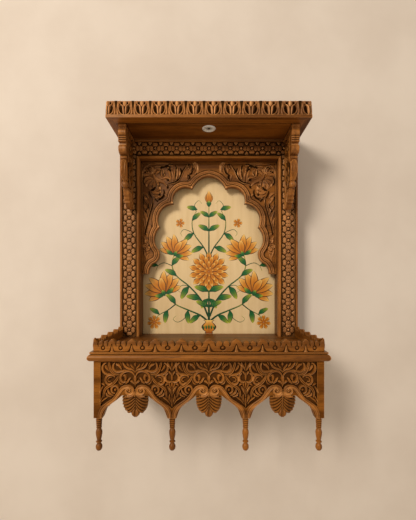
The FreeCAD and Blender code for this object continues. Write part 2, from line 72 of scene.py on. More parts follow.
class Reading:
    """A socket of a finish. Arithmetic on it adds the nodes that work it out."""

    def __init__(self, finish, socket):
        self.finish = finish
        self.socket = socket

    def math(self, operation, *others):
        return self.finish.node("ShaderNodeMath", {"operation": operation}, dict(enumerate((self, *others))))

    def __add__(self, other):
        return self.math("ADD", other)

    def __sub__(self, other):
        return self.math("SUBTRACT", other)

    def __rsub__(self, other):
        return self.finish.node("ShaderNodeMath", {"operation": "SUBTRACT"}, {0: other, 1: self})

    def __mul__(self, other):
        return self.math("MULTIPLY", other)

    def __truediv__(self, other):
        return self.math("DIVIDE", other)

    __radd__ = __add__
    __rmul__ = __mul__

    def between(self, low, high):
        """0 below low, 1 above high and a smooth step from one to the other."""
        settings = {"interpolation_type": "SMOOTHSTEP"}
        return self.finish.node("ShaderNodeMapRange", settings, {"Value": self, "From Min": low, "From Max": high})


class Finish:
    """A material that is put together node by node."""

    def __init__(self, name):
        self.material = bpy.data.materials.new(name)
        self.material.use_nodes = True
        self.nodes = self.material.node_tree.nodes
        self.links = self.material.node_tree.links
        self.nodes.clear()

    def node(self, kind, settings=None, values=None, output=0):
        made = self.nodes.new(kind)
        for name, value in (settings or {}).items():
            setattr(made, name, value)
        for name, value in (values or {}).items():
            if isinstance(value, Reading):
                self.links.new(value.socket, made.inputs[name])
            else:
                made.inputs[name].default_value = value
        return Reading(self, made.outputs[output])

    def place(self):
        """Where the point lies on the object, in metres."""
        return self.node("ShaderNodeTexCoord", output="Object")

    def axis(self, name):
        return self.node("ShaderNodeSeparateXYZ", None, {"Vector": self.place()}, output=name)

    def stretched(self, scale):
        return self.node("ShaderNodeMapping", None, {"Vector": self.place(), "Scale": scale})

    def noise(self, scale, detail=3.0, roughness=0.55, at=None):
        values = {"Vector": at or self.place(), "Scale": scale, "Detail": detail, "Roughness": roughness}
        return self.node("ShaderNodeTexNoise", None, values)

    def mix(self, amount, first, second):
        return self.node("ShaderNodeMix", {"data_type": "RGBA"}, {0: amount, 6: first, 7: second}, output=2)

    def bump(self, height, strength, distance):
        values = {"Strength": strength, "Distance": distance, "Height": height}
        return self.node("ShaderNodeBump", None, values, output="Normal")

    def surface(self, **values):
        """The finished surface. The names of the values are those of the shader's sockets."""
        named = {name.replace("_", " "): value for name, value in values.items()}
        return self.ended_with(self.node("ShaderNodeBsdfPrincipled", None, named))

    def ended_with(self, shader):
        output = self.nodes.new("ShaderNodeOutputMaterial")
        self.links.new(shader.socket, output.inputs["Surface"])
        return self.material


def set_finish(piece, material):
    piece.data.materials.clear()
    piece.data.materials.append(material)


def new_piece(name, shape):
    """A piece from a bmesh, with its place in its mesh."""
    mesh = bpy.data.meshes.new(name)
    shape.to_mesh(mesh)
    shape.free()
    piece = bpy.data.objects.new(name, mesh)
    bpy.context.collection.objects.link(piece)
    return piece


board_low, board_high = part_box("back_panel")
wall_reach = 4.0
wall_height = 3.0
floor_level = -1.0
wall_gap = 0.0005
hole_margin = 0.0012

shape = bmesh.new()
outer = [(-wall_reach, floor_level), (wall_reach, floor_level), (wall_reach, wall_height), (-wall_reach, wall_height)]
left, right = board_low[0] + hole_margin, board_high[0] - hole_margin
low, high = board_low[2] + hole_margin, board_high[2] - hole_margin
inner = [(left, low), (right, low), (right, high), (left, high)]
rings = [[shape.verts.new((x, wall_gap, z)) for x, z in ring] for ring in (outer, inner)]
for i in range(4):
    shape.faces.new((rings[0][i - 1], rings[1][i - 1], rings[1][i], rings[0][i]))
for face in shape.faces:
    face.normal_update()
    if face.normal.y > 0:
        face.normal_flip()
wall = new_piece("room_wall", shape)

plaster = Finish("plaster")
mottled = plaster.noise(3.0, 4.0).between(0.3, 0.7)
tone = plaster.mix(mottled, (0.62, 0.515, 0.410, 1.0), (0.68, 0.575, 0.465, 1.0))
rough_cast = plaster.bump(plaster.noise(900.0, 2.0), 0.08, 0.001)
front_side = plaster.node("ShaderNodeBsdfPrincipled", None,
                          {"Base Color": tone, "Roughness": 0.9, "Normal": rough_cast})
away = plaster.node("ShaderNodeNewGeometry", output="Backfacing")
see_through = plaster.node("ShaderNodeBsdfTransparent")
plaster.ended_with(plaster.node("ShaderNodeMixShader", None, {0: away, 1: front_side, 2: see_through}))
set_finish(wall, plaster.material)

shape = bmesh.new()
bmesh.ops.create_grid(shape, x_segments=1, y_segments=1, size=wall_reach,
                      matrix=Matrix.Translation((0.0, -wall_reach + wall_gap, floor_level)))
floor = new_piece("room_floor", shape)
screed = Finish("screed")
dusty = screed.noise(2.0, 4.0).between(0.3, 0.7)
pale = screed.mix(dusty, (0.60, 0.55, 0.48, 1.0), (0.66, 0.61, 0.54, 1.0))
set_finish(floor, screed.surface(Base_Color=pale, Roughness=0.85))


# Daylight: a large soft window up to the left of the eye, a weak one to the right, and the
# pale room all round.
def soft_light(name, place, aim, size, power, colour):
    data = bpy.data.lights.new(name, "AREA")
    data.shape = "RECTANGLE"
    data.size, data.size_y = size
    data.energy = power
    data.color = colour
    light = bpy.data.objects.new(name, data)
    light.location = place
    light.rotation_euler = (Vector(aim) - Vector(place)).to_track_quat("-Z", "Y").to_euler()
    bpy.context.collection.objects.link(light)


soft_light("window_left", (-2.0, -3.4, 1.95), (0.0, -0.1, 0.2), (1.1, 1.1), 127.0, (1.0, 0.965, 0.92))
soft_light("window_right", (1.9, -2.2, 0.9), (0.0, -0.1, 0.2), (1.6, 1.6), 7.0, (1.0, 0.97, 0.94))

world = bpy.data.worlds.new("room")
world.use_nodes = True
nodes = world.node_tree.nodes
nodes.clear()
background = nodes.new("ShaderNodeBackground")
background.inputs["Color"].default_value = (0.96, 0.89, 0.81, 1.0)
background.inputs["Strength"].default_value = 0.49
shown = nodes.new("ShaderNodeBackground")
shown.inputs["Color"].default_value = (0.86, 0.82, 0.76, 1.0)
shown.inputs["Strength"].default_value = 0.9
path = nodes.new("ShaderNodeLightPath")
chosen = nodes.new("ShaderNodeMixShader")
output = nodes.new("ShaderNodeOutputWorld")
links = world.node_tree.links
links.new(path.outputs["Is Camera Ray"], chosen.inputs[0])
links.new(background.outputs[0], chosen.inputs[1])
links.new(shown.outputs[0], chosen.inputs[2])
links.new(chosen.outputs[0], output.inputs["Surface"])
bpy.context.scene.world = world


# All the wood is one open-grained hardwood, oiled, with dark stain and painted shade in the hollows
# and the high edges lighter, partly rubbed and partly painted highlight. The grain runs along each board.
grain_squeeze = 0.09
edge_reach = 0.0018


def oiled_wood(name, along, light=1.0, reach=0.0045, gloss=0.3, ground=None, pale=0.0):
    """along is the axis that the grain runs on: 0, 1 or 2. light scales every tone, for lighter and darker
    copies of the wood as painted light and painted shade. reach is how far the stain and painted shade
    in the hollows go. ground is an axis with the lowest and highest distance from the middle between which
    a carving ground lies, darkened by stain and painted shade. pale takes the colour towards grey, as a
    painted sheen of light off the oiled wood."""
    wood = Finish(name)
    squeezed = [1.0, 1.0, 1.0]
    squeezed[along] = grain_squeeze
    at = wood.stretched(tuple(squeezed))
    bands = wood.noise(26.0, 5.0, 0.6, at)
    fibres = wood.noise(420.0, 3.0, 0.7, at)
    patches = wood.noise(7.0, 2.0)
    # The last tone is that of rubbed high edges, and also a painted highlight on them.
    tones = (0.285, 0.094, 0.0110), (0.120, 0.035, 0.0030), (0.017, 0.0046, 0.0006), (0.56, 0.235, 0.060)
    honey, brown, dark, rubbed_and_highlight = [(red * light, (green + pale * red) * light, (blue + pale * red) * light, 1.0)
                                  for red, green, blue in tones]
    colour = wood.mix(bands.between(0.38, 0.60), brown, honey)
    colour = wood.mix(fibres.between(0.45, 0.70) * 0.45, colour, dark)
    colour = wood.mix(patches.between(0.35, 0.75) * 0.3, colour, brown)
    # A carving ground is darkened: stain and painted shade between the raised carving.
    if ground:
        axis, least, most = ground
        distance = wood.axis(axis).math("ABSOLUTE")
        ground_stain_and_shade = distance.math("GREATER_THAN", least) * distance.math("LESS_THAN", most)
        colour = wood.mix(ground_stain_and_shade * 0.72, colour, dark)
    # Dark stain and painted shade in the hollows: darker where ambient occlusion finds the wood closed in.
    open_air = wood.node("ShaderNodeAmbientOcclusion", {"samples": 8}, {"Distance": reach}, output="AO")
    stain_and_painted_shade = (1 - open_air).between(0.17, 0.66)
    colour = wood.mix(stain_and_painted_shade * 0.93, colour, dark)
    # High edges lighter, by rubbing wear and by a painted highlight, found by ambient occlusion from inside.
    inside = wood.node("ShaderNodeAmbientOcclusion", {"samples": 8, "inside": True},
                       {"Distance": edge_reach}, output="AO")
    edges = (1 - inside).between(0.12, 0.62)
    colour = wood.mix(edges * 0.55 * (1 - stain_and_painted_shade), colour, rubbed_and_highlight)
    rough = 0.34 + fibres * 0.16 + stain_and_painted_shade * 0.25
    relief = wood.bump(fibres * 0.5 + bands * 0.5, 0.35, 0.0006)
    return wood.surface(Base_Color=colour, Roughness=rough, Normal=relief, Specular_IOR_Level=gloss,
                        Specular_Tint=(1.0, 0.80, 0.58, 1.0))


across_wood = oiled_wood("wood_across", 0)
deep_wood = oiled_wood("wood_front_to_back", 1)
upright_wood = oiled_wood("wood_upright", 2)
# Copies of the wood for carving, a little lighter or darker: painted light where the carving stands out into the lamp,
# painted shade where it lies in shade.
relief_across = oiled_wood("relief_across", 0, 1.13, 0.0026)
relief_deep = oiled_wood("relief_front_to_back", 1, 1.15, 0.0026)
relief_upright = oiled_wood("relief_upright", 2, 0.88, 0.0022)
# Lighter, paler copies for carving that catches the lamp: painted light and painted sheen.
painted_light_across = oiled_wood("painted_light_across", 0, 1.5, 0.0022, pale=0.05)
painted_light_deep = oiled_wood("painted_light_front_to_back", 1, 1.5, 0.0022, pale=0.05)
painted_light_upright = oiled_wood("painted_light_upright", 2, 1.55, 0.0018, pale=0.08)
# Painted highlight: a far lighter, paler copy of the wood for the pearls and the tulip hearts.
painted_highlight_wood = oiled_wood("painted_highlight_wood", 2, 2.3, 0.0012, pale=0.10)
# Painted shadow: a near-black copy of the wood for flat strips that stand in for deep cuts, grooves and drilled slots.
painted_cut_shadow = oiled_wood("painted_cut_shadow", 0, 0.09, 0.002, 0.0)
# Painted shade: a darker copy of the wood for the linings inside the niche.
painted_shade_upright = oiled_wood("painted_shade_upright", 2, 0.6)
for name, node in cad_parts.items():
    if name.endswith("lining"):
        set_finish(node, painted_shade_upright)
    elif name.endswith(("side_board", "stile", "bracket")) or name in ("back_panel", "picture_panel"):
        set_finish(node, upright_wood)
    elif name.startswith(("left", "right")):
        set_finish(node, deep_wood)
    else:
        set_finish(node, across_wood)
set_finish(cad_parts["shelf_board"], oiled_wood("wood_shelf", 0, 0.7))

# Boards with a carving ground have it darkened, by stain and by painted shade between the raised
# carving. A ground is found by its distance from the wall or from the middle, to within a third of a millimetre.
near = 0.0003
both_sides = ((1, "right"), (-1, "left"))
stile_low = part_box("right_stile")[0]
apron_low, apron_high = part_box("apron_front")
side_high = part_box("right_apron")[1]
arch_low, arch_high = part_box("arch_panel")
fascia_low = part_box("canopy_front_fascia")[0]
gallery_low, gallery_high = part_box("gallery_front")
field_depth = 0.004
carving_depth = 0.006
spandrel_depth = 0.005
fascia_recess = 0.004
field_y = stile_low[1] + field_depth


def at_level(axis, level):
    return axis, abs(level) - near, abs(level) + near


def give_ground(node, along, ground, light=0.92, pale=0.0):
    set_finish(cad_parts[node], oiled_wood("wood_" + node, along, light, gloss=0.1, ground=ground, pale=pale))


# The stiles and the rail are also lighter, paler copies of the wood: painted light and painted sheen.
for side in ("left_", "right_"):
    give_ground(side + "stile", 2, at_level("Y", field_y), light=1.5, pale=0.04)
    give_ground(side + "apron", 1, at_level("X", side_high[0] - carving_depth))
    give_ground(side + "gallery", 1, at_level("X", side_high[0]))
give_ground("top_rail", 0, at_level("Y", field_y), light=1.1, pale=0.02)
give_ground("apron_front", 0, at_level("Y", apron_low[1] + carving_depth))
give_ground("gallery_front", 0, at_level("Y", gallery_low[1]))


# Carving. A motif is drawn in millimetres on a flat ground: across, up and out of the ground.
# A cut is the shape of a stroke from one edge to the other: its place and its share of the rise.
# A stroke starts root_depth under the ground, is at least least_half to each side of its middle,
# and sinks towards a narrow end by its width to the power end_fall.
rounded = ((-1.0, 0.0), (-0.85, 0.55), (-0.45, 0.92), (0.0, 1.0), (0.45, 0.92), (0.85, 0.55), (1.0, 0.0))
ridged = ((-1.0, 0.0), (-0.85, 0.45), (-0.4, 0.62), (0.0, 1.0), (0.4, 0.62), (0.85, 0.45), (1.0, 0.0))
gouged = ((-1.0, 0.0), (-0.92, 0.75), (-0.62, 1.0), (0.0, 0.66), (0.62, 1.0), (0.92, 0.75), (1.0, 0.0))
veined = ((-1.0, 0.0), (-0.9, 0.65), (-0.55, 0.98), (-0.1, 0.86), (0.1, 0.86), (0.5, 1.0), (0.85, 0.7), (1.0, 0.0))
flat = ((-1.0, 0.0), (-0.9, 1.0), (0.9, 1.0), (1.0, 0.0))
root_depth = 0.6
least_half = 0.2
end_fall = 0.55


def smooth(path, fine, closed=False):
    """More points on a smooth curve through a few."""
    ends = [path[-1], *path, path[0], path[1]] if closed else [path[0], *path, path[-1]]
    curve = []
    for run in zip(ends, ends[1:], ends[2:], ends[3:]):
        for step in range(fine):
            t = step / fine
            curve.append([0.5 * (2 * b + (c - a) * t + (2 * a - 5 * b + 4 * c - d) * t * t
                                 + (3 * b - a - 3 * c + d) * t ** 3) for a, b, c, d in zip(*run)])
    return curve if closed else curve + [list(path[-1])]


class Carving:
    """Relief that is built up from strokes, plates and beads. Where it is mapped, a map holds the
    place of each point across a stroke and along it."""

    def __init__(self, mapped=False):
        self.shape = bmesh.new()
        self.map = self.shape.loops.layers.uv.new("stroke") if mapped else None

    def skin(self, rings):
        """Walls from ring to ring, and both ends closed."""
        loops = [[self.shape.verts.new(p) for p in ring] for ring in rings]
        faces = [self.shape.faces.new(loops[0]), self.shape.faces.new(loops[-1])]
        for first, second in zip(loops, loops[1:]):
            for k in range(len(first)):
                faces.append(self.shape.faces.new((first[k - 1], first[k], second[k], second[k - 1])))
        if self.map:
            spots = {vert: (k / (len(loop) - 1), i / (len(loops) - 1)) for i, loop in enumerate(loops)
                     for k, vert in enumerate(loop)}
            for face in faces:
                for corner in face.loops:
                    corner[self.map].uv = spots[corner.vert]

    def stroke(self, cut, rise, path, root=root_depth, fine=4, lift=0.0):
        """A ribbon along a path of (across, up, half width), lower where it is narrow."""
        points = smooth(path, fine)
        widest = max(p[2] for p in points)
        rings = []
        for i, (u, v, w) in enumerate(points):
            before, after = points[max(i - 1, 0)], points[min(i + 1, len(points) - 1)]
            du, dv = after[0] - before[0], after[1] - before[1]
            length = math.hypot(du, dv) or 1.0
            w = max(w, least_half)
            height = rise * min(1.0, w / widest) ** end_fall
            rings.append([(u - dv / length * side * w, v + du / length * side * w,
                           lift + share * height if share else -root) for side, share in cut])
        self.skin(rings)

    def plate(self, outline, levels, fine=3):
        """A flat shape with an eased edge. levels holds how far in from the outline, and how high."""
        points = smooth(outline, fine, True) if fine else outline
        area = sum(a[0] * b[1] - b[0] * a[1] for a, b in zip(points, points[1:] + points[:1]))
        turn = 1 if area > 0 else -1
        rings = []
        for inset, height in levels:
            ring = []
            for i, here in enumerate(points):
                before, after = points[i - 1], points[(i + 1) % len(points)]
                du, dv = after[0] - before[0], after[1] - before[1]
                length = math.hypot(du, dv) or 1.0
                ring.append((here[0] - turn * dv / length * inset, here[1] + turn * du / length * inset, height))
            rings.append(ring)
        self.skin(rings)

    def turned(self, profile, sides, u=0.0, v=0.0):
        """A round shape from a profile of (radius, height)."""
        turns = [2 * math.pi * k / sides for k in range(sides)]
        self.skin([[(u + radius * math.cos(turn), v + radius * math.sin(turn), height) for turn in turns]
                   for radius, height in profile])

    def bead(self, u, v, radius, rise, sides=10):
        domed = ((0.96, 0.35), (0.72, 0.74), (0.32, 0.97))
        self.turned([(radius, -root_depth)] + [(out * radius, up * rise) for out, up in domed], sides, u, v)

    def cuts(self, listed, height):
        """Deep cuts, seen as flat strokes of painted shadow at one height."""
        self.strokes([(flat, height, path) for path in listed])

    def strokes(self, listed, mirror=False):
        """Several strokes, and their mirror images where asked."""
        for cut, rise, path in listed:
            self.stroke(cut, rise, path)
            if mirror:
                self.stroke(cut, rise, [(-u, v, w) for u, v, w in path])

    def motif(self):
        mesh = bpy.data.meshes.new("motif")
        self.shape.to_mesh(mesh)
        self.shape.free()
        return mesh


def on_face(x, y, z, across=(1, 0, 0), up=(0, 0, 1), out=(0, -1, 0)):
    """Where a motif goes: its own millimetres turned to metres at a point of a face."""
    columns = [Vector(axis) * 0.001 for axis in (across, up, out)] + [Vector((x, y, z))]
    return Matrix([[column[row] for column in columns] for row in range(3)] + [(0, 0, 0, 1)])


sharp_angle = 0.75


def carved(name, stamps, material):
    """A piece of relief from (motif, place) pairs."""
    shape = bmesh.new()
    for motif, place in stamps:
        start = len(shape.verts)
        shape.from_mesh(motif)
        shape.verts.ensure_lookup_table()
        bmesh.ops.transform(shape, matrix=place, verts=shape.verts[start:])
    bmesh.ops.recalc_face_normals(shape, faces=shape.faces)
    for edge in shape.edges:
        edge.smooth = edge.calc_face_angle(0.0) < sharp_angle
    for face in shape.faces:
        face.smooth = True
    piece = new_piece(name, shape)
    set_finish(piece, material)
    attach(piece, "root")
    return piece


def repeated(name, motif, places, material):
    """The same motif at several places, as one piece."""
    carved(name, [(motif, place) for place in places], material)


# Flowers of four petals on the frame, in a row on each stile and on the rail, with small
# pointed leaves and drilled slots between them. Cut from the board, about 3 mm high.
# The drilled slots and the ring of holes round each pearl are flat painted shadow, and the pearls a painted highlight.
flower = Carving()
slot_shadows = Carving()
petal_line = ((7.2, 0.0), (5.4, 2.8), (6.9, 5.7), (9.7, 8.2), (13.3, 9.0), (16.5, 7.3), (18.0, 3.9), (17.2, 0.0))
petal_line += tuple((p, -q) for p, q in petal_line[-2:0:-1])
petal_edge = ((0.0, -0.6), (0.0, 1.6), (0.8, 2.8), (2.4, 3.3))
for u, v in ((0, 1), (0, -1), (1, 0), (-1, 0)):
    flower.plate([(p * u + q * v, p * v + q * u) for p, q in petal_line], petal_edge, fine=2)
    slot_shadows.stroke(flat, 3.5, [(11.0 * u, 11.0 * v, 0.2), (17.4 * u, 17.4 * v, 0.6)], fine=1)
pearl = Carving()
pearl.bead(0, 0, 4.0, 5.6, 10)
for k in range(8):
    angle = math.pi / 8 + k * math.pi / 4
    slot_shadows.bead(5.7 * math.cos(angle), 5.7 * math.sin(angle), 1.2, 3.4, 6)
beside_leaf = ((7.8, 17.8, 1.2), (10.2, 13.8, 1.5), (13.0, 10.8, 1.6), (17.0, 8.2, 1.2))
for side in (1, -1):
    flower.stroke(ridged, 3.3, [(18.2, side * 10.2, 0.5), (18.2, side * 13.8, 3.0), (18.2, side * 18.0, 5.6),
                                (18.2, side * 20.6, 4.6)], fine=2)
    slot_shadows.stroke(flat, 4.2, [(-18.6, side * 22.2, 0.9), (18.6, side * 22.2, 0.9)], fine=1)
    for end in (1, -1):
        slot_shadows.stroke(flat, 1.4, [(end * u, side * v, w) for u, v, w in beside_leaf], fine=3)
flower, slot_shadows, pearl = flower.motif(), slot_shadows.motif(), pearl.motif()

flower_column = 0.2605
column_first, column_last, column_count = 0.022, 0.5725, 16
row_level = 0.617
row_pitch = 0.0352
row_half = 7


def flower_row(name, places, wood):
    """Flowers, their pearls as painted highlight, and flat painted shadow in each drilled slot."""
    repeated(name + "_flowers", flower, places, wood)
    repeated(name + "_slots", slot_shadows, places, painted_cut_shadow)
    repeated(name + "_pearls", pearl, places, painted_highlight_wood)


for side, name in both_sides:
    places = []
    for k in range(column_count):
        z = column_first + (column_last - column_first) * k / (column_count - 1)
        places.append(on_face(side * flower_column, field_y, z, across=(0, 0, 1.05), up=(1, 0, 0)))
    flower_row(name + "_stile", places, painted_light_upright)
flower_row("rail", [on_face(k * row_pitch, field_y, row_level) for k in range(-row_half, row_half + 1)], painted_light_across)

# Apron carving: scrolling stems and leaves in the sunk ground of each half bay, a stack of
# leaves over each middle pillar, and the strap that rises from each pillar and curls into
# the volutes. Cut from the board.
half_bay = Carving()
half_bay.strokes([
    (veined, 6, ((1.2, -51.3, 1), (6.9, -45.9, 2.5), (15, -43.7, 3.2), (23.6, -39.3, 3), (28.5, -33.2, 2.5),
                 (31.5, -27.8, 1.5))),
    (ridged, 5, ((2.9, -46.5, 1), (5.8, -41.3, 2.3), (10.4, -36.1, 1.8), (11.5, -32.1, 0.8))),
    (ridged, 4.5, ((15, -39, 0.8), (19, -34.4, 2.3), (21.3, -29.2, 1.3))),
    (veined, 6.5, ((1.7, -62.6, 1), (4.6, -55.7, 2.5), (10.4, -50.9, 3), (18.4, -49.5, 3.3),
                   (27.7, -51.8, 3.5), (34.6, -58, 3.8), (37.2, -66.6, 3.5), (34.6, -74.7, 3.3),
                   (28.8, -78.3, 2.8), (24.5, -75.9, 1.8))),
    (rounded, 6.5, ((25.9, -74.1, 1.8), (23.6, -68.4, 3.3), (25.4, -61.5, 3.8), (28.8, -60.3, 3),
                    (30.8, -63.8, 1.5))),
    (veined, 6, ((11.5, -66.6, 1), (15, -70.1, 2.5), (19, -76.4, 3), (24.2, -81, 1.8))),
    (veined, 6, ((23.6, -48.2, 1), (31.7, -49, 2.3), (39.8, -51.3, 3), (47.8, -51.1, 3.3), (53.8, -46.5, 3.3),
                 (56.1, -39.6, 3), (54.7, -32.6, 2.3), (51.9, -28.6, 1.3))),
    (veined, 5.5, ((35.1, -46.5, 1), (37.4, -39.6, 3), (42.1, -34.4, 3.5), (46.7, -33.2, 2.3),
                   (48.4, -30.3, 0.8))),
    (ridged, 4.5, ((33.8, -36.7, 0.8), (36.3, -31.5, 2), (38, -27.5, 1.3))),
    (gouged, 7, ((38, -57.4, 1), (46.7, -57.8, 2.5), (53.6, -55.5, 3.5), (59.3, -49.4, 3.8),
                 (62.6, -41.9, 3.5), (65.1, -34.4, 3), (66.3, -27.5, 2))),
    (veined, 6, ((65.1, -58, 1), (72, -57.4, 2.5), (78.9, -52.8, 3.3), (82.6, -44.7, 3.3), (82.2, -36.7, 2.8),
                 (77.8, -30.9, 2.3), (73.7, -29.2, 1.3))),
    (ridged, 6, ((65.1, -50.5, 1), (70.3, -45.3, 3), (74.9, -39, 3.3), (76.1, -34.4, 1.3))),
    (gouged, 7, ((40.7, -59.2, 1), (43.8, -66.1, 2.5), (47.8, -73, 3.3), (53.6, -79.3, 3.5),
                 (60.5, -85.1, 3.5), (68.6, -89.1, 3.5), (74.9, -94.9, 3.3), (78.4, -102.9, 3),
                 (79.5, -111, 2), (79.2, -116.8, 1))),
    (veined, 6.5, ((51.9, -66.1, 1), (53.6, -61.5, 2.3), (60.5, -59.2, 3), (68, -60.3, 3.3),
                   (73.4, -66.1, 3.5), (74.3, -74.1, 3.5), (70.3, -81.3, 3.3), (64, -82.8, 2.5),
                   (59.3, -78.7, 1.5))),
    (rounded, 6, ((59.3, -64.9, 1), (65.1, -66.1, 2.3), (68.8, -70.1, 2.3), (67.6, -75.9, 1.8),
                  (62.8, -75.9, 1))),
    (veined, 6.5, ((45.5, -106.4, 1), (43.2, -100.6, 2.3), (42.8, -94.3, 2.8), (46.1, -88.5, 3),
                   (52.4, -86.8, 3), (58.2, -90.3, 3), (59.9, -97.2, 2.8), (57.6, -103.5, 2.3),
                   (51.9, -106.4, 1.3))),
    (rounded, 6.5, ((47.8, -97.8, 1.8), (50.4, -97.2, 3.3), (53, -96.6, 1.8))),
    (veined, 6.5, ((54.7, -111.6, 1), (60.5, -108.7, 2.8), (66.3, -104.1, 3.3), (68.8, -98.9, 2),
                   (69.1, -94.3, 0.8))),
    (veined, 6, ((60.5, -115, 1), (66.3, -112.7, 2.5), (71.4, -109.9, 2.8), (73.7, -104.7, 1.3))),
    (rounded, 5.5, ((31.7, -83.3, 1), (36.3, -82.2, 2.3), (40.3, -77.6, 1.8), (40.9, -70.7, 0.8))),
    (ridged, 6, ((70.3, -116.8, 0.8), (76.6, -120.8, 2), (83.5, -126, 2), (88.7, -133.5, 1))),
    (ridged, 6, ((82.4, -112.7, 0.8), (84.9, -119.1, 1.8), (88.7, -126, 1.8), (91, -132.3, 0.8))),
    (rounded, 5.5, ((76.6, -88, 1), (79.5, -83.9, 2.8), (83.5, -82.2, 2), (87, -82.2, 0.8))),
    (ridged, 6.5, ((81.8, -89.1, 1), (85.8, -94.3, 2.5), (89.3, -101.8, 2.3), (92.2, -109.9, 1))),
])
bay_axis = Carving()
bay_axis.strokes([
    (rounded, 6, ((0, -27.5, 1.3), (0, -32.1, 3), (0, -37.8, 1))),
    (veined, 7, ((0, -82.2, 1), (0, -74.1, 3.8), (0, -66.1, 4.3), (0, -60.9, 1.8))),
    (ridged, 6.5, ((0, -89.1, 0.8), (0, -84.5, 1.8), (0, -81, 0.8))),
])
bay_axis.strokes([
    (veined, 6.5, ((0.6, -83.9, 1), (4, -78.7, 2.8), (9.2, -75.3, 2.8), (12.3, -76.4, 1.3))),
], mirror=True)
bay_axis.bead(0, -51.8, 2.6, 6.0)
stack = Carving()
stack.strokes([
    (ridged, 6, ((0, -27.5, 1), (0, -35, 2.8), (0, -46.5, 1))),
    (rounded, 6.5, ((0, -54, 1), (0, -62.6, 2.8), (0, -73, 1.5))),
    (ridged, 6.5, ((0, -76.4, 1.3), (0, -83.3, 3.3), (0, -93.1, 1))),
    (ridged, 6.5, ((0, -117.9, 1), (0, -128.3, 3), (0, -143.3, 0.8))),
    (ridged, 6, ((0, -96, 0.8), (0, -106.4, 1.8), (0, -115.6, 0.8))),
])
stack.strokes([
    (veined, 6.5, ((-1.2, -48.2, 1), (-4.6, -40.7, 2.8), (-8.9, -34.4, 2.8), (-11.2, -28, 1.5))),
    (veined, 6, ((-1.7, -60.9, 1), (-4.6, -54.5, 2), (-7.5, -51.3, 1.8), (-9.6, -52, 0.8))),
    (veined, 6.5, ((-1.2, -76.4, 1.3), (-7.5, -77.8, 2.5), (-14.4, -74.1, 3.3), (-16.9, -66.6, 3.3),
                   (-15.3, -59.2, 2.8), (-10, -55.1, 1.8))),
    (ridged, 6, ((-5.2, -77.6, 0.8), (-6.3, -83.3, 2.3), (-3.5, -91.4, 1.8), (-1.2, -96, 0.8))),
    (ridged, 6.5, ((-1.2, -107.5, 0.8), (-4.6, -98.3, 2.3), (-7.5, -93.1, 2), (-9.2, -89.1, 0.8))),
    (ridged, 6.5, ((-1.2, -134.1, 0.8), (-4.6, -123.7, 2.3), (-6.9, -115.6, 2), (-5.8, -109.9, 0.8))),
], mirror=True)
half_bay, bay_axis, stack = half_bay.motif(), bay_axis.motif(), stack.motif()

strap_cut = ((-1.0, 0.0), (-0.97, 0.8), (-0.78, 1.0), (-0.55, 0.85), (0.0, 0.42), (0.6, 0.55), (0.85, 0.9),
             (0.97, 0.7), (1.0, 0.0))
strap = Carving()
strap.stroke(strap_cut, 3.2, [
    (88.2, -168.2, 5.0), (87.6, -158.0, 5.2), (83.4, -147.0, 5.4), (76.2, -138.0, 5.2), (66.6, -130.2, 4.9),
    (54.6, -121.8, 4.7), (47.0, -113.0, 4.7), (39.6, -102.6, 4.8), (33.0, -94.0, 4.8), (25.6, -89.3, 4.6),
    (15.8, -87.9, 4.3), (7.6, -91.4, 4.0), (5.4, -97.8, 3.6), (8.2, -104.2, 3.2), (15.0, -107.0, 2.8),
    (21.4, -104.0, 2.5), (23.4, -98.0, 2.2), (20.6, -93.6, 2.0), (15.8, -93.0, 1.8), (12.6, -96.0, 1.6),
    (13.0, -99.8, 1.5), (16.0, -101.4, 1.3)])
strap.bead(17.4, -97.6, 2.7, 3.6)
for path in (((1.0, -99.5, 1.0), (5.6, -106.4, 2.4), (13.0, -110.6, 2.8), (19.5, -111.6, 2.2)),
             ((0.8, -105.5, 1.2), (5.4, -111.2, 2.4), (14.0, -114.4, 2.6), (24.5, -113.0, 2.2))):
    strap.stroke(ridged, 2.6, path, root=2.0)
strap.stroke(ridged, 3.0, ((0.0, -97.5, 0.8), (0.0, -104.0, 1.3), (0.0, -114.0, 1.2)), root=2.0)
strap = strap.motif()

pillar_half = 0.011
front_bays = 3
side_bays = 2
bay_half = ((apron_high[0] - apron_low[0]) - 2 * pillar_half) / front_bays / 2
side_start = apron_low[1] + pillar_half
side_half = (side_high[1] - side_start - pillar_half) / side_bays / 2
face_y = apron_low[1]
narrow = side_half / bay_half
front_middles = [(2 * i + 1 - front_bays) * bay_half for i in range(front_bays)]
front_pillars = [(2 * i + 2 - front_bays) * bay_half for i in range(front_bays - 1)]
side_middles = [side_start + (2 * i + 1) * side_half for i in range(side_bays)]
side_pillars = [side_start + 2 * side_half]


def on_apron(side, middle, depth, way=1):
    """A place on the apron. side is 0 at the front, 1 at the right and -1 at the left."""
    if side == 0:
        return on_face(middle, face_y + depth, 0, across=(way, 0, 0))
    return on_face(side * (side_high[0] - depth), middle, 0, across=(0, way * narrow, 0), out=(side, 0, 0))


def apron_carving(name, side, middles, pillars, material):
    stamps = []
    for middle in middles:
        stamps.append((bay_axis, on_apron(side, middle, carving_depth)))
        for way in (1, -1):
            stamps.append((half_bay, on_apron(side, middle, carving_depth, way)))
            stamps.append((strap, on_apron(side, middle, 0.0, way)))
    stamps += [(stack, on_apron(side, pillar, carving_depth)) for pillar in pillars]
    carved(name, stamps, material)


apron_carving("apron_front_carving", 0, front_middles, front_pillars, relief_across)
for side, name in both_sides:
    apron_carving(name + "_apron_carving", side, side_middles, side_pillars, relief_deep)

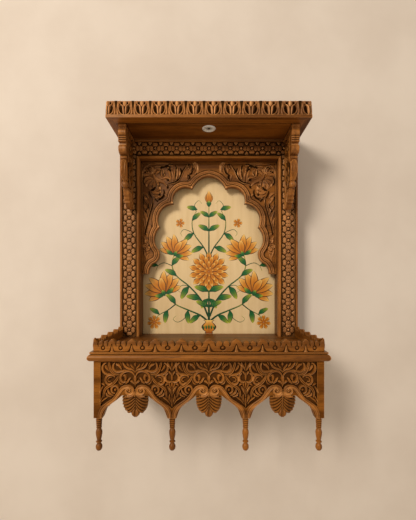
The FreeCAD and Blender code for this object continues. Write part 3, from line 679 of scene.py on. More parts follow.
# Spandrel carving: rosettes, long leaves, a tulip and buds in the two upper corners of the arch
# board, with a thin stem that runs down each side to a small flower. Cut from the board.
corner = Carving()
corner.strokes([
    (rounded, 3.2, ((-193.8, 489.5, 0.9), (-208.5, 503.2, 2), (-219.5, 518, 2.2), (-225, 536.9, 2.2),
                    (-223.7, 553.8, 2.2), (-217, 567.5, 2), (-202.2, 577.4, 0.9))),
    (veined, 4.4, ((-202.2, 576, 0.9), (-185.3, 580, 3.9), (-166.3, 581.2, 5.9), (-147.4, 580.8, 4.8),
                   (-132.6, 582.3, 2.9), (-122.1, 584.4, 0.9))),
    (ridged, 4.1, ((-183.2, 568.1, 0.9), (-174.8, 570.7, 3.9), (-165.3, 569.4, 0.9))),
    (ridged, 4.1, ((-165.3, 570.7, 0.9), (-156.9, 571.7, 3.4), (-147.4, 572.8, 0.9))),
    (gouged, 4.7, ((-196.9, 543.3, 1.3), (-192.5, 553.8, 5.3), (-198.4, 565.4, 5.9), (-208.5, 569.4, 2))),
    (gouged, 4.7, ((-201.1, 543.3, 0.9), (-208.9, 552.8, 5.3), (-214.9, 558.4, 4.4), (-219.5, 553.8, 1.3))),
    (gouged, 4.7, ((-202.6, 540.1, 0.9), (-210.6, 542.2, 4.8), (-217.4, 541.2, 3.4), (-221.2, 534.8, 0.9))),
    (gouged, 4.7, ((-194.2, 544.3, 0.9), (-185.3, 551.7, 4.4), (-187, 562.2, 3.4), (-193.8, 568.1, 0.9))),
    (rounded, 5.0, ((-203.3, 548.5, 2), (-200.5, 548.5, 3.4), (-197.6, 548.5, 2))),
    (gouged, 4.7, ((-190.6, 528.5, 0.9), (-200.1, 531, 4.8), (-210.6, 528.5, 4.8), (-218.6, 521.1, 1.5))),
    (gouged, 4.7, ((-190.6, 525.3, 0.9), (-200.5, 520.1, 5.3), (-208.9, 511.6, 4.4), (-211.5, 502.1, 1.3))),
    (gouged, 4.7, ((-188.5, 523.2, 0.9), (-194.2, 512, 5.3), (-198.4, 502.8, 4.4), (-195.4, 493.7, 1.3))),
    (gouged, 4.7, ((-184.3, 522.2, 0.9), (-184.1, 511.6, 4.8), (-184.9, 501.1, 3.9), (-189.5, 492.2, 1.3))),
    (gouged, 4.7, ((-180.1, 526.4, 0.9), (-173.9, 515.8, 4.4), (-171.8, 504.9, 3.4), (-174.8, 496.4, 0.9))),
    (veined, 5.6, ((-189, 548, 1.2), (-181.5, 532, 5.2), (-168.5, 522.5, 6.2), (-154, 516.5, 4.8),
                   (-141, 503, 1.2))),
    (gouged, 4.7, ((-185.3, 551.7, 0.9), (-178.6, 559.1, 4.1), (-169.5, 561.8, 3.4), (-162.1, 559.7, 0.9))),
    (gouged, 4.7, ((-180.7, 542.2, 0.9), (-174.4, 549.2, 3.7), (-167.2, 553.8, 3.4), (-164.7, 560.1, 0.9))),
    (ridged, 5.3, ((-160.6, 561.2, 0.9), (-162.5, 549.6, 3.7), (-159.2, 538, 3.4), (-153.3, 535.2, 0.9))),
    (ridged, 5.3, ((-158.3, 561.8, 0.9), (-152, 553.8, 3.4), (-150.7, 543.3, 3.1), (-154.1, 535.7, 0.9))),
    (rounded, 5.3, ((-159, 528.1, 1.3), (-149.5, 531.9, 4.1), (-140.6, 532.3, 4.1), (-133.4, 528.1, 3.4),
                    (-133.4, 520.9, 2.2), (-139.3, 519.2, 0.9))),
    (ridged, 5.0, ((-128.8, 516.9, 0.9), (-130.5, 536.9, 3.7), (-134.7, 551.7, 3.7), (-140.6, 560.6, 0.9))),
    (rounded, 5.3, ((-121.2, 516.9, 0.9), (-120.4, 536.9, 3.9), (-124.6, 551.7, 3.4), (-125, 563.1, 0.9))),
    (rounded, 5.6, ((-112.8, 521.1, 0.9), (-107.3, 539, 4.8), (-106, 555.9, 4.8), (-109.4, 574.1, 1.3))),
    (ridged, 5.0, ((-117.4, 519, 0.9), (-114.9, 539, 2.9), (-114.9, 555.9, 2.9), (-112.8, 570.7, 0.9))),
    (rounded, 5.3, ((-103.1, 527.4, 0.9), (-98.4, 543.3, 3.9), (-98.4, 555.9, 3.4), (-103.1, 568.1, 0.9))),
    (rounded, 4.7, ((-142.1, 567.5, 2), (-138.5, 567.5, 3.4), (-134.7, 567.5, 2))),
    (rounded, 4.7, ((-129.4, 562.7, 1.7), (-126.3, 562.7, 2.9), (-122.9, 562.7, 1.7))),
    (ridged, 4.4, ((-145.3, 572.4, 0.9), (-134.7, 574.9, 3.1), (-122.1, 572.8, 0.9))),
    (rounded, 3.8, ((-74, 573.8, 0.9), (-85.8, 554.2, 2), (-93.8, 537.4, 2), (-102.2, 521.5, 2),
                    (-118.9, 512.9, 2), (-134.7, 509.1, 1.5), (-144.2, 503.6, 0.9))),
    (gouged, 5.0, ((-69.3, 580, 0.9), (-70.6, 570.7, 3.9), (-67.2, 561, 0.9))),
    (rounded, 5.3, ((-61.7, 548.5, 1.3), (-64.3, 556.3, 4.4), (-59.2, 565.2, 3.9), (-59.6, 575.7, 1.3))),
    (ridged, 5.0, ((-56.3, 545.4, 0.9), (-51.6, 553.8, 3.1), (-50.8, 564.4, 2.4), (-55, 577, 0.9))),
    (ridged, 4.7, ((-46.1, 555.5, 0.9), (-44.4, 564.4, 2.6), (-49.5, 574.9, 2.2), (-55.4, 582.9, 0.7))),
    (rounded, 5.0, ((-74.8, 544.3, 1.3), (-75.7, 534.8, 4.1), (-72.3, 524.3, 1.5))),
    (rounded, 4.4, ((-67.6, 528.5, 0.9), (-66, 521.8, 2.9), (-63.8, 514.8, 0.9))),
    (gouged, 4.7, ((-193.8, 486.3, 0.9), (-185.3, 482.1, 5.9), (-172.7, 479.6, 5.3), (-161.7, 486.3, 1.5))),
    (gouged, 4.7, ((-185.3, 488.4, 0.9), (-174.8, 490.5, 4.8), (-165.1, 496.9, 3.7), (-161.7, 505.7, 0.9))),
    (gouged, 4.7, ((-189.5, 473.2, 0.9), (-179, 468.6, 5.3), (-166.3, 466.9, 4.1), (-158.3, 472, 0.9))),
    (ridged, 5.0, ((-171.8, 509.5, 0.9), (-168, 501.1, 3.4), (-163.8, 492.6, 2.9), (-164.7, 483.2, 0.9))),
    (rounded, 4.7, ((-153.7, 479.6, 0.9), (-144.8, 471.6, 4.1), (-136.4, 462.7, 2.4), (-131.5, 457.8, 0.7))),
    (gouged, 4.4, ((-222.9, 480.8, 0.9), (-214.4, 478.3, 4.6), (-208.1, 473.2, 3.9), (-204.7, 464.2, 1.3))),
    (gouged, 4.4, ((-221.6, 470.5, 0.9), (-214.4, 464.8, 4.1), (-209.8, 455.7, 1.3))),
    (ridged, 4.4, ((-185.3, 458.9, 0.9), (-181.1, 463.1, 2.9), (-172.7, 464.2, 0.9))),
    (rounded, 4.7, ((-187, 460.9, 1.5), (-194.6, 434.7, 2.4), (-203, 405.2, 2.4), (-211.5, 375.7, 2.4),
                    (-218.2, 346.1, 1.5))),
    (gouged, 4.7, ((-220.3, 464.3, 0.9), (-213.1, 457.9, 5.3), (-204.7, 447.4, 4.4), (-202.2, 433.9, 0.9))),
    (gouged, 4.7, ((-221.6, 443.2, 0.9), (-214.8, 432.6, 5.3), (-207.2, 421.2, 4.4), (-205.5, 408.6, 0.9))),
    (gouged, 4.7, ((-220.7, 420, 0.9), (-214.8, 408.6, 4.4), (-210.6, 394.7, 3.4), (-211.5, 384.1, 0.9))),
    (ridged, 4.4, ((-222.4, 394.7, 0.9), (-219, 382, 3.9), (-218.2, 367.2, 0.9))),
    (ridged, 4.4, ((-214, 344, 0.9), (-206.4, 337.7, 4.4), (-198.8, 324.2, 1.5))),
    (ridged, 4.4, ((-219, 333.5, 0.9), (-215.7, 322.9, 4.4), (-214.8, 310.3, 1.5))),
    (gouged, 4.7, ((-208.9, 310.3, 0.9), (-214, 316.6, 3.9), (-208.1, 321.7, 3.9), (-203.9, 311.6, 0.9))),
    (gouged, 4.7, ((-206.4, 309, 0.9), (-200.5, 315.8, 3.9), (-194.6, 310.7, 3.9), (-200.5, 304, 0.9))),
    (gouged, 4.7, ((-203.9, 304.8, 0.9), (-194.6, 302.3, 3.9), (-195.4, 293.8, 3.9), (-203.9, 298.9, 0.9))),
    (gouged, 4.7, ((-206.4, 300.6, 0.9), (-203, 290.5, 3.9), (-210.6, 287.1, 3.9), (-209.8, 298, 0.9))),
    (gouged, 4.7, ((-210.6, 302.3, 0.9), (-218.2, 294.7, 3.9), (-219.9, 303.1, 3.9), (-211.5, 306.5, 0.9))),
    (rounded, 5.3, ((-209.8, 304, 1.5), (-207.2, 304, 2.9), (-204.7, 304, 1.5))),
    (ridged, 4.4, ((-200.5, 285, 0.9), (-207.2, 278.6, 4.4), (-215.7, 276.1, 1.5))),
    (ridged, 4.4, ((-219, 287.1, 0.9), (-217.4, 274.4, 3.4), (-211.5, 260.9, 1.5))),
    (ridged, 4.4, ((-203.9, 274.4, 0.9), (-208.9, 265.1, 3.9), (-213.1, 251.6, 1.5))),
    (veined, 6.6, ((-62, 586, 1.2), (-52, 583, 4.4), (-43, 575, 6.4), (-39.5, 562, 5.6), (-40, 552, 3.6),
                   (-46, 546, 1.4))),
])
# The deep cuts between the leaves are flat strips of painted shadow.
corner_cut_shadows = Carving()
corner_cut_shadows.cuts([
    ((-163.7, 563.6, 1.3), (-159.8, 568.1, 2.1), (-152, 567.5, 1)),
    ((-157.2, 567, 1), (-141.6, 572.2, 1.6), (-124.8, 580, 1.3)),
    ((-164.5, 557.2, 1.3), (-163.7, 548.1, 2.1), (-162.4, 539, 1.3)),
    ((-153.3, 557.2, 1.3), (-149.9, 548.1, 2.1), (-154.6, 539, 1.3)),
    ((-142.9, 564.9, 1.3), (-137.7, 568.8, 1.8), (-130, 564.9, 1.6)),
    ((-140.3, 557.2, 1.3), (-133.9, 559.7, 1.8), (-127.4, 553.3, 1.3)),
    ((-113.1, 572.7, 1.6), (-110, 564.9, 2.3), (-107.9, 554.6, 1.6)),
    ((-110.5, 554.6, 1.3), (-112.6, 541.6, 2.3), (-110.5, 528.6, 1.3)),
    ((-96.2, 563.6, 1.3), (-94.4, 554.6, 1.8), (-98.8, 541.6, 1.3)),
    ((-77.3, 570.1, 1.3), (-87.1, 557.2, 2.1), (-93.6, 541.6, 2.3), (-101.4, 527.3, 2.3), (-113.1, 516.9, 2.1),
     (-128.7, 513, 1.8), (-140.3, 509.9, 1)),
    ((-71.5, 564.9, 1.3), (-69, 572.7, 1.6), (-67.7, 579.2, 1)),
    ((-53.4, 564.9, 1.3), (-53.4, 554.6, 1.8), (-61.2, 545.5, 1.6), (-66.4, 544.2, 0.8)),
    ((-69.5, 541.6, 1.6), (-65.1, 535.1, 2.3), (-69, 526, 1.3)),
    ((-53.4, 587, 1), (-46.9, 579.2, 1.3), (-41.7, 566.2, 1)),
    ((-216.9, 549.4, 1), (-210.4, 553.3, 1.6), (-203.9, 550.7, 1)),
    ((-206.5, 562.3, 1), (-198.8, 567.5, 1.6), (-191, 559.7, 1.3), (-189.7, 549.4, 1)),
    ((-196.2, 489.7, 1.3), (-188.4, 492.3, 2.3), (-181.9, 501.3, 1.6)),
    ((-174.1, 507.8, 1), (-168.9, 502.6, 2.1), (-164.5, 505.2, 1)),
    ((-142.9, 526, 1.3), (-137, 522.9, 2.1), (-133.9, 528.6, 1.3)),
    ((-141.6, 505.2, 1.3), (-138.5, 501.3, 2.1), (-142.9, 496.1, 1)),
    ((-153.3, 492.3, 1), (-151.5, 479.3, 2.1), (-157.2, 466.3, 2.1), (-166.3, 459.8, 1.6), (-171.5, 455.9, 1)),
    ((-183.2, 463.7, 1), (-179.3, 457.2, 1.8), (-172.8, 452, 1.3)),
    ((-167.6, 481.9, 1), (-166.3, 475.4, 1.8), (-170.2, 468.9, 1.3)),
    ((-189.7, 458.5, 1.3), (-192.3, 435.1, 1.3), (-200.1, 409.2, 1.3), (-206.5, 383.2, 1.3),
     (-213, 357.3, 1.3), (-215.6, 339.1, 1)),
    ((-203.9, 445.5, 1), (-205.2, 432.5, 1.8), (-210.4, 424.8, 1.8), (-215.6, 411.8, 1)),
    ((-202.6, 487.1, 1), (-198.8, 474.1, 1.6), (-192.3, 463.7, 1)),
    ((-222.1, 468.9, 0.8), (-223.4, 453.3, 1.3), (-220.8, 440.3, 0.8)),
    ((-196.2, 370.2, 1), (-191, 365, 1.8), (-196.2, 358.6, 1)),
    ((-219.5, 539, 0.8), (-220.8, 523.4, 1.3), (-216.9, 507.8, 0.8)),
], 4.9)
corner, corner_cut_shadows = corner.motif(), corner_cut_shadows.motif()
places = [on_face(0, arch_low[1] + spandrel_depth, 0, across=(way, 0, 0)) for way in (1, -1)]
repeated("spandrel_carving", corner, places, painted_light_across)
repeated("spandrel_cut_shadows", corner_cut_shadows, places, painted_cut_shadow)

# Moulding of the arch: two round rolls with a groove between them on the raised bead, a broad
# roll outside it and a last groove, all following the lobes. Cut from the arch board. The grooves
# are flat strips of painted shadow, and the rolls a lighter copy of the wood as painted light.
arch_marks = ((0.0, 1.0), (0.155, 0.965), (0.278, 0.867), (0.539, 0.849), (0.590, 0.717), (0.842, 0.595),
              (0.818, 0.478), (0.905, 0.366), (0.866, 0.272), (0.818, 0.200), (0.930, 0.106), (0.984, 0.060),
              (1.000, 0.000))
arch_foot, arch_crown = 24.0, 45.0
arc_steps = 12
fold_slack = 0.12
half_span = arch_high[0] * 1000 - arch_foot
arch_rise = (arch_high[2] - arch_low[2]) * 1000 - arch_crown
marks = [complex(u * half_span, v * arch_rise + arch_low[2] * 1000) for u, v in arch_marks]
arch_points = []
for start, middle, end in zip(marks[::2], marks[1::2], marks[2::2]):
    turn = (end - start) / (middle - start)
    centre = (middle - start) * (turn - abs(turn) ** 2) / (2j * turn.imag) + start
    sweep = cmath.phase((end - centre) / (start - centre))
    for k in range(arc_steps + 1):
        arm = (start - centre) * cmath.exp(1j * sweep * k / arc_steps)
        ahead = arm * 1j * (1 if sweep > 0 else -1)
        arch_points.append((centre + arm, ahead * 1j / abs(ahead)))


def along_arch(distance, half):
    """A path at a distance outside the arch, from the crown to the foot."""
    shifted = [point + outward * distance for point, outward in arch_points]
    least = distance - fold_slack
    clear = [spot for spot in shifted if min(abs(spot - point) for point, outward in arch_points) > least]
    return [(spot.real, spot.imag, half) for spot in clear if spot.imag > arch_low[2] * 1000]


bead_rise = 0.003
on_bead, on_board = on_face(0, arch_low[1] - bead_rise, 0), on_face(0, arch_low[1], 0)
for name, material, runs in (
        ("arch_rolls", painted_light_across, ((on_bead, rounded, 2.0, 2.8, 2.1), (on_bead, rounded, 2.0, 9.0, 1.8),
                                       (on_board, rounded, 2.4, 14.6, 3.2))),
        ("arch_groove_shadows", painted_cut_shadow, ((on_bead, flat, 0.4, 6.0, 1.2), (on_board, flat, 0.3, 19.0, 1.2)))):
    stamps = []
    for place, cut, rise, distance, half in runs:
        run = Carving()
        for way in (1, -1):
            run.stroke(cut, rise, [(way * u, v, w) for u, v, w in along_arch(distance, half)], fine=1)
        stamps.append((run.motif(), place))
    carved(name, stamps, material)

# Hanging leaves: a broad leaf under each pair of volutes, with a midrib, curved side ribs that
# end in a scalloped edge, and a pointed tip. Each is carved from one block glued under the apron.
rib_cut = ((-1.0, 0.0), (-0.9, 0.3), (-0.45, 0.78), (0.1, 1.0), (0.62, 0.96), (0.86, 0.5), (1.0, 0.0))
leaf = Carving()
half_outline = [(0.0, -101.0), (11.0, -101.0), (21.0, -104.5), (28.5, -110.0), (31.6, -119.0), (31.8, -130.0),
                (30.0, -141.0), (26.0, -150.0), (20.0, -156.0), (12.0, -157.5), (9.6, -161.0), (5.0, -166.2)]
outline = half_outline + [(0.0, -168.4)] + [(-u, v) for u, v in half_outline[:0:-1]]
leaf.plate(outline, ((0.6, -6.0), (0.0, -5.0), (0.0, 0.0), (1.4, 1.0), (4.0, 1.6)))
rib_ends = ((28.5, -110.5), (32.6, -117.6), (32.8, -125.4), (32.0, -133.2), (29.8, -140.8), (26.0, -148.0),
            (19.8, -154.6))
first_rib, rib_pitch = -99.0, 6.6
for k, (reach, end) in enumerate(rib_ends):
    root = first_rib - rib_pitch * k
    fall = end - root
    for way in (1, -1):
        leaf.stroke(rib_cut, 6.6, [(way * 0.8, root, 1.9), (way * reach * 0.35, root + fall * 0.62, 3.3),
                                   (way * reach * 0.72, root + fall * 0.98, 3.8), (way * reach, end, 3.2)][::way])
leaf.stroke(ridged, 7.4, [(0, -101.5, 1.0), (0, -120, 1.5), (0, -150, 1.2)])
for way in (1, -1):
    leaf.stroke(rounded, 7.6, [(way * 1.4, -146, 1.2), (way * 5.4, -154, 4.2), (way * 5.6, -161, 4.0),
                               (way * 1.2, -168.2, 0.8)])
leaf = leaf.motif()
leaf_inset = 0.009
for i, middle in enumerate(front_middles):
    name = "leaf_" + str(i + 1)
    place = on_face(middle, face_y + leaf_inset, 0)
    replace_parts(carved("carved_" + name, [(leaf, place)], relief_upright), name)
for side, name in both_sides:
    stamps = [(leaf, on_face(side * (side_high[0] - leaf_inset), middle, 0, across=(0, 1, 0), out=(side, 0, 0)))
              for middle in side_middles]
    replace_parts(carved("carved_side_leaves_" + name, stamps, relief_upright), "side_leaves_" + name)

# Turned drops under the pillars: a collar, a stack of rings, a long vase, a ring, a neck and a
# ball. Each is turned from one piece and doweled into the pillar.
drop_profile = ((7.4, 0.0), (7.4, 2.6), (5.4, 3.4), (5.4, 4.4), (7.8, 5.8), (7.8, 7.8), (5.3, 9.2), (7.6, 10.8),
                (7.6, 12.6), (5.1, 14.2), (7.3, 15.8), (7.3, 17.6), (4.9, 19.2), (7.0, 20.8), (7.0, 22.6), (4.8, 24.2),
                (6.8, 25.6), (6.8, 27.2), (5.0, 28.8), (6.8, 32.0), (8.2, 37.0), (8.1, 42.0), (7.0, 50.0), (5.6, 56.5),
                (5.0, 59.6), (7.4, 61.2), (7.5, 63.2), (5.0, 64.8), (4.8, 66.6), (6.2, 68.6), (7.9, 72.0), (8.4, 76.0),
                (7.6, 80.5), (5.0, 84.2), (1.2, 86.0))
drop_sides = 24
turned_wood = oiled_wood("wood_turned", 2, 1.2, 0.003)
for name in ("drop_1", "drop_2", "drop_3", "drop_4", "side_drops_left", "side_drops_right"):
    low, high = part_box(name)
    middle = [(a + b) / 2 for a, b in zip(low, high)]
    drop = Carving()
    drop.turned([(radius, -down) for radius, down in drop_profile], drop_sides)
    place = on_face(middle[0], middle[1], high[2], up=(0, 1, 0), out=(0, 0, 1))
    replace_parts(carved("turned_" + name, [(drop.motif(), place)], turned_wood), name)

# Canopy edge carving: a row of tulips, each in a deep round hollow, with slits between them. The
# dark crescents in the hollows and the slits are flat strips of painted shadow, and each heart a
# painted highlight. The row is cut by hand, so its spacing grows a little from left to right.
tulip = Carving()
tulip.strokes([
    (rounded, 4.6, ((0.0, 0.2, 1.0), (9.0, 1.2, 1.8), (15.4, 7.6, 2.2), (18.0, 18.0, 2.2), (18.0, 28.0, 2.2),
                    (16.0, 37.5, 1.4))),
    (ridged, 4.4, ((0.0, 24.4, 1.2), (0.0, 31.0, 4.0), (0.0, 38.4, 3.0))),
    (rounded, 4.0, ((10.4, 28.6, 0.8), (13.4, 32.0, 2.4), (13.6, 38.6, 2.2))),
    (rounded, 4.4, ((19.4, 0.6, 2.8), (21.0, 6.0, 3.4), (21.6, 14.0, 2.8), (20.8, 24.0, 2.2), (19.8, 38.6, 1.8))),
])
tulip_heart = Carving()
tulip_heart.stroke(rounded, 5.6, ((2.8, 2.4, 1.4), (3.2, 8.5, 2.4), (3.7, 15.0, 2.7), (4.4, 21.5, 2.4),
                                  (6.8, 26.0, 1.7), (10.4, 28.6, 0.8)))
tulip_cut_shadows = Carving()
tulip_cut_shadows.cuts((
    ((6.4, 2.6, 0.8), (8.8, 5.4, 2.1), (11.0, 10.5, 3.1), (12.0, 16.5, 3.3), (11.8, 22.5, 2.3), (11.2, 26.4, 0.9)),
    ((0.1, 3.0, 0.8), (0.1, 13.0, 1.3), (0.1, 23.6, 0.8)),
    ((7.2, 37.2, 0.8), (8.6, 33.0, 1.9), (7.0, 28.4, 0.9)),
), 2.6)
slit_shadow = Carving()
slit_shadow.cuts((((24.9, 9.0, 0.4), (24.7, 18.0, 1.1), (24.4, 27.0, 2.1), (24.1, 38.5, 3.1)),), 3.9)
tulip, tulip_heart, tulip_cut_shadows, slit_shadow = tulip.motif(), tulip_heart.motif(), tulip_cut_shadows.motif(), slit_shadow.motif()
fillet_height = 0.008
tulip_width = 0.050
tulip_count = 12
first_gap, gap_growth = 0.0475, 0.0009
fascia_y = fascia_low[1] + fascia_recess
fascia_z = fascia_low[2] + fillet_height
places = []
x = -sum(first_gap + gap_growth * k for k in range(tulip_count - 1)) / 2
for k in range(tulip_count):
    gap = first_gap + gap_growth * k
    for way in (1, -1):
        if (k, way) not in ((0, -1), (tulip_count - 1, 1)):
            stretch = way * (gap if way > 0 else gap - gap_growth) / tulip_width
            places.append(on_face(x, fascia_y, fascia_z, across=(stretch, 0, 0)))
    x += gap
repeated("canopy_front_carving", tulip, places, painted_light_across)
repeated("canopy_front_hearts", tulip_heart, places, painted_highlight_wood)
carved("canopy_front_cut_shadows", [(cut, place) for place in places for cut in (tulip_cut_shadows, slit_shadow)], painted_cut_shadow)
side_tulips = 4
run_low, run_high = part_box("right_canopy_fascia")
side_gap = (run_high[1] - run_low[1]) / side_tulips
for side, name in both_sides:
    places = []
    for k in range(side_tulips):
        y = run_low[1] + side_gap * (k + 0.5)
        for way in (1, -1):
            across = (0, way * side_gap / tulip_width, 0)
            places.append(on_face(side * (run_high[0] - fascia_recess), y, fascia_z, across=across, out=(side, 0, 0)))
    repeated(name + "_canopy_carving", tulip, places, painted_light_deep)
    repeated(name + "_canopy_hearts", tulip_heart, places, painted_highlight_wood)
    stamps = [(tulip_cut_shadows, place) for place in places] + [(slit_shadow, place) for place in places[:1] + places[2:]]
    carved(name + "_canopy_cut_shadows", stamps, painted_cut_shadow)

# Carving on the low rail: between every two peaks a pearl in a ring with two lobes over it, and
# under every peak a small spear between two grooves. The plates leave the grooves free.
lobe_line = ((0.3, 0.7), (0.3, 3.6), (4.0, 5.2), (6.2, 10.0), (4.2, 14.6), (1.4, 16.6), (1.5, 22.8), (3.8, 26.4),
             (8.0, 27.2), (11.8, 24.8), (13.8, 19.6), (13.2, 13.6), (16.2, 17.8), (17.2, 22.6), (19.4, 26.2),
             (23.4, 29.8), (28.0, 32.4))
spear_line = ((28.0, 20.6), (26.0, 17.0), (24.2, 11.0), (21.0, 5.0), (16.2, 0.7))
plate_edge = ((0.0, -0.6), (0.0, 1.9), (0.5, 2.7), (1.1, 2.9))
half_unit = 28.0
end_play = 0.6


def rail_carving(name, centres, length, place, material):
    """centres and length are in millimetres along the rail."""
    cut = Carving()
    peaks = [(a + b) / 2 for a, b in zip(centres, centres[1:])]
    for peak, first, second in zip(peaks, centres, centres[1:]):
        reach = (peak - first) / half_unit, (second - peak) / half_unit
        rising = [(first + u * reach[0], v) for u, v in lobe_line]
        falling = [(second - u * reach[1], v) for u, v in lobe_line[-2::-1]]
        under = [(second - u * reach[1], v) for u, v in spear_line[::-1]]
        under += [(first + u * reach[0], v) for u, v in spear_line[1:]]
        cut.plate(rising + falling + under, plate_edge, fine=2)
        cut.stroke(ridged, 3.6, [(peak, 0.4, 5.0), (peak, 3.6, 3.0), (peak, 10.0, 1.9), (peak, 17.0, 0.6)])
    for centre, end in ((centres[0], end_play), (centres[-1], length - end_play)):
        line = lobe_line + ((half_unit, 0.7),)
        cut.plate([(centre + u * (end - centre) / half_unit, v) for u, v in line], plate_edge, fine=2)
    for centre in centres:
        cut.bead(centre, 10, 3.6, 3.5, 12)
    carved(name, [(cut.motif(), place)], material)


rail_length = (gallery_high[0] - gallery_low[0]) * 1000
rail_units, rail_margin, middle_stretch = 10, 25.0, 0.19
reach = rail_length / 2 - rail_margin
centres = []
for i in range(rail_units):
    share = 2 * i / (rail_units - 1) - 1
    centres.append(rail_length / 2 + reach * share * (1 + middle_stretch * (1 - share * share)))
rail_carving("gallery_front_carving", centres, rail_length, on_face(gallery_low[0], gallery_low[1], 0), relief_across)
run_low, run_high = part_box("right_gallery")
run = (run_high[1] - run_low[1]) * 1000
side_units = 4
centres = [run * (i + 0.5) / side_units for i in range(side_units)]
for side, name in both_sides:
    place = on_face(side * run_high[0], run_low[1], 0, across=(0, 1, 0), out=(side, 0, 0))
    rail_carving(name + "_gallery_carving", centres, run, place, relief_deep)

# Brackets: a thick board cut to a scroll, with foliage on both cheeks. Its front edge is moulded,
# from the top: a cap, a wide block, three reeds, a lobe, a tongue, a long fluted leaf, a ball, a
# collar and an end leaf. They are screwed to the soffit and to the frame.
bracket_low, bracket_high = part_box("right_bracket")
bracket_x = (bracket_low[0] + bracket_high[0]) / 2
core_line = ((84, 641), (180, 641), (180, 610), (172, 590), (168, 566), (160, 548), (163, 522), (155, 500),
             (144, 486), (140, 470), (134, 452), (122, 432), (106, 420), (84, 420))
slabs = (
    (12.0, 1.6, ((84, 642), (84, 633.4), (192.0, 633.4), (194.6, 635.0), (195.6, 637.7), (194.0, 642))),
    (10.4, 0.8, ((84, 634), (190, 634), (190, 627), (84, 627))),
    (12.0, 2.0, ((84, 628), (191, 628), (194.6, 623), (195.4, 618), (194.0, 612), (190, 608.6), (84, 608.6))),
    (12.3, 1.6, ((84, 608.4), (187, 608.4), (190.4, 607.2), (191.2, 605.3), (190.2, 603.2), (187, 602.2), (84, 602.2))),
    (12.3, 1.6, ((84, 602.2), (187, 602.2), (190.4, 601.1), (191.2, 599.2), (190.2, 597.2), (187, 596.2), (84, 596.2))),
    (12.3, 1.6, ((84, 596.2), (187, 596.2), (190.2, 595.2), (191.0, 593.2), (190.0, 591.2), (187, 590.2), (84, 590.2))),
    (10.4, 0.8, ((84, 591), (183, 591), (183, 584), (84, 584))),
    (12.0, 2.4, ((84, 585), (182, 585), (188.6, 581), (190.6, 574), (189.0, 566), (184, 560), (176, 557), (84, 557))),
    (10.2, 2.2, ((84, 558), (172, 558), (177.4, 553), (177.8, 548), (171, 543), (84, 543))),
    (8.6, 2.6, ((96, 545), (164, 545), (169.6, 534), (171.6, 520), (167.6, 503), (155, 489), (142, 482), (96, 482))),
    (8.8, 1.6, ((92, 467), (149, 467), (151.4, 464), (149, 460.6), (92, 460.6))),
    (8.8, 1.8, ((84, 461), (146.4, 461), (142.0, 452), (144.2, 449), (136.6, 441), (138.2, 437.6), (129.6, 430.4),
                (130.6, 427.0), (119.0, 421.6), (111.0, 414.6), (97.0, 413.0), (84, 420))),
)
cheek = (
    (rounded, 3.4, ((100, 634, 1.6), (112, 622, 3.2), (130, 616, 4.2), (148, 620, 4.0), (158, 611, 3.6),
                    (154, 598, 3.2), (142, 594, 2.8), (134, 601, 2.2), (139, 608, 1.4))),
    (rounded, 3.4, ((98, 610, 1.6), (106, 594, 3.4), (122, 582, 4.2), (142, 580, 4.0), (152, 570, 3.6),
                    (148, 557, 3.2), (136, 553, 2.8), (128, 560, 2.2), (133, 567, 1.4))),
    (rounded, 3.4, ((96, 582, 1.6), (100, 562, 3.4), (110, 544, 4.0), (126, 534, 3.8), (140, 530, 3.2), (144, 518, 2.8),
                    (134, 511, 2.4), (126, 517, 1.4))),
    (rounded, 3.2, ((95, 550, 1.4), (97, 528, 3.2), (104, 508, 3.8), (118, 494, 3.6), (130, 486, 2.8), (128, 474, 2.2),
                    (118, 474, 1.2))),
    (rounded, 3.0, ((95, 512, 1.2), (96, 488, 3.2), (100, 466, 3.6), (110, 448, 2.8), (114, 432, 1.2))),
    (ridged, 3.2, ((110, 632, 1.0), (130, 629, 3.2), (154, 631, 3.4), (172, 630, 1.0))),
    (ridged, 3.2, ((154, 624, 0.8), (160, 614, 3.4), (163, 600, 3.2), (158, 588, 0.8))),
    (ridged, 3.2, ((116, 606, 0.8), (124, 600, 3.0), (128, 590, 0.8))),
    (ridged, 3.2, ((150, 590, 0.8), (157, 579, 3.0), (158, 566, 2.6), (154, 554, 0.8))),
    (ridged, 3.2, ((110, 572, 0.8), (118, 566, 3.0), (120, 554, 0.8))),
    (ridged, 3.0, ((90, 458, 0.8), (98, 446, 3.2), (108, 434, 3.0), (117, 428, 0.8))),
    (ridged, 3.0, ((89, 442, 0.8), (95, 431, 2.8), (104, 422, 2.4), (112, 418, 0.8))),
    (ridged, 3.0, ((112, 530, 0.8), (119, 524, 2.8), (120, 512, 0.8))),
    (ridged, 3.0, ((136, 508, 0.8), (140, 496, 2.6), (137, 484, 0.8))),
    (ridged, 3.0, ((108, 488, 0.8), (114, 478, 2.8), (112, 464, 0.8))),
    (ridged, 3.0, ((120, 462, 0.8), (127, 450, 3.2), (124, 434, 0.8))),
    (rounded, 3.6, ((143, 600, 1.4), (146, 602, 2.6), (149, 604, 1.4))),
    (rounded, 3.6, ((138, 559, 1.4), (141, 561, 2.6), (144, 563, 1.4))),
)
leaf_front = ((545, 170), (534, 175.4), (520, 177.4), (502, 173.6), (485, 160))


def out_at(level):
    """How far out the front of the long leaf lies."""
    for (upper, far), (lower, near_end) in zip(leaf_front, leaf_front[1:]):
        if level >= lower:
            return near_end + (far - near_end) * min(1.0, (level - lower) / (upper - lower))
    return leaf_front[-1][1]


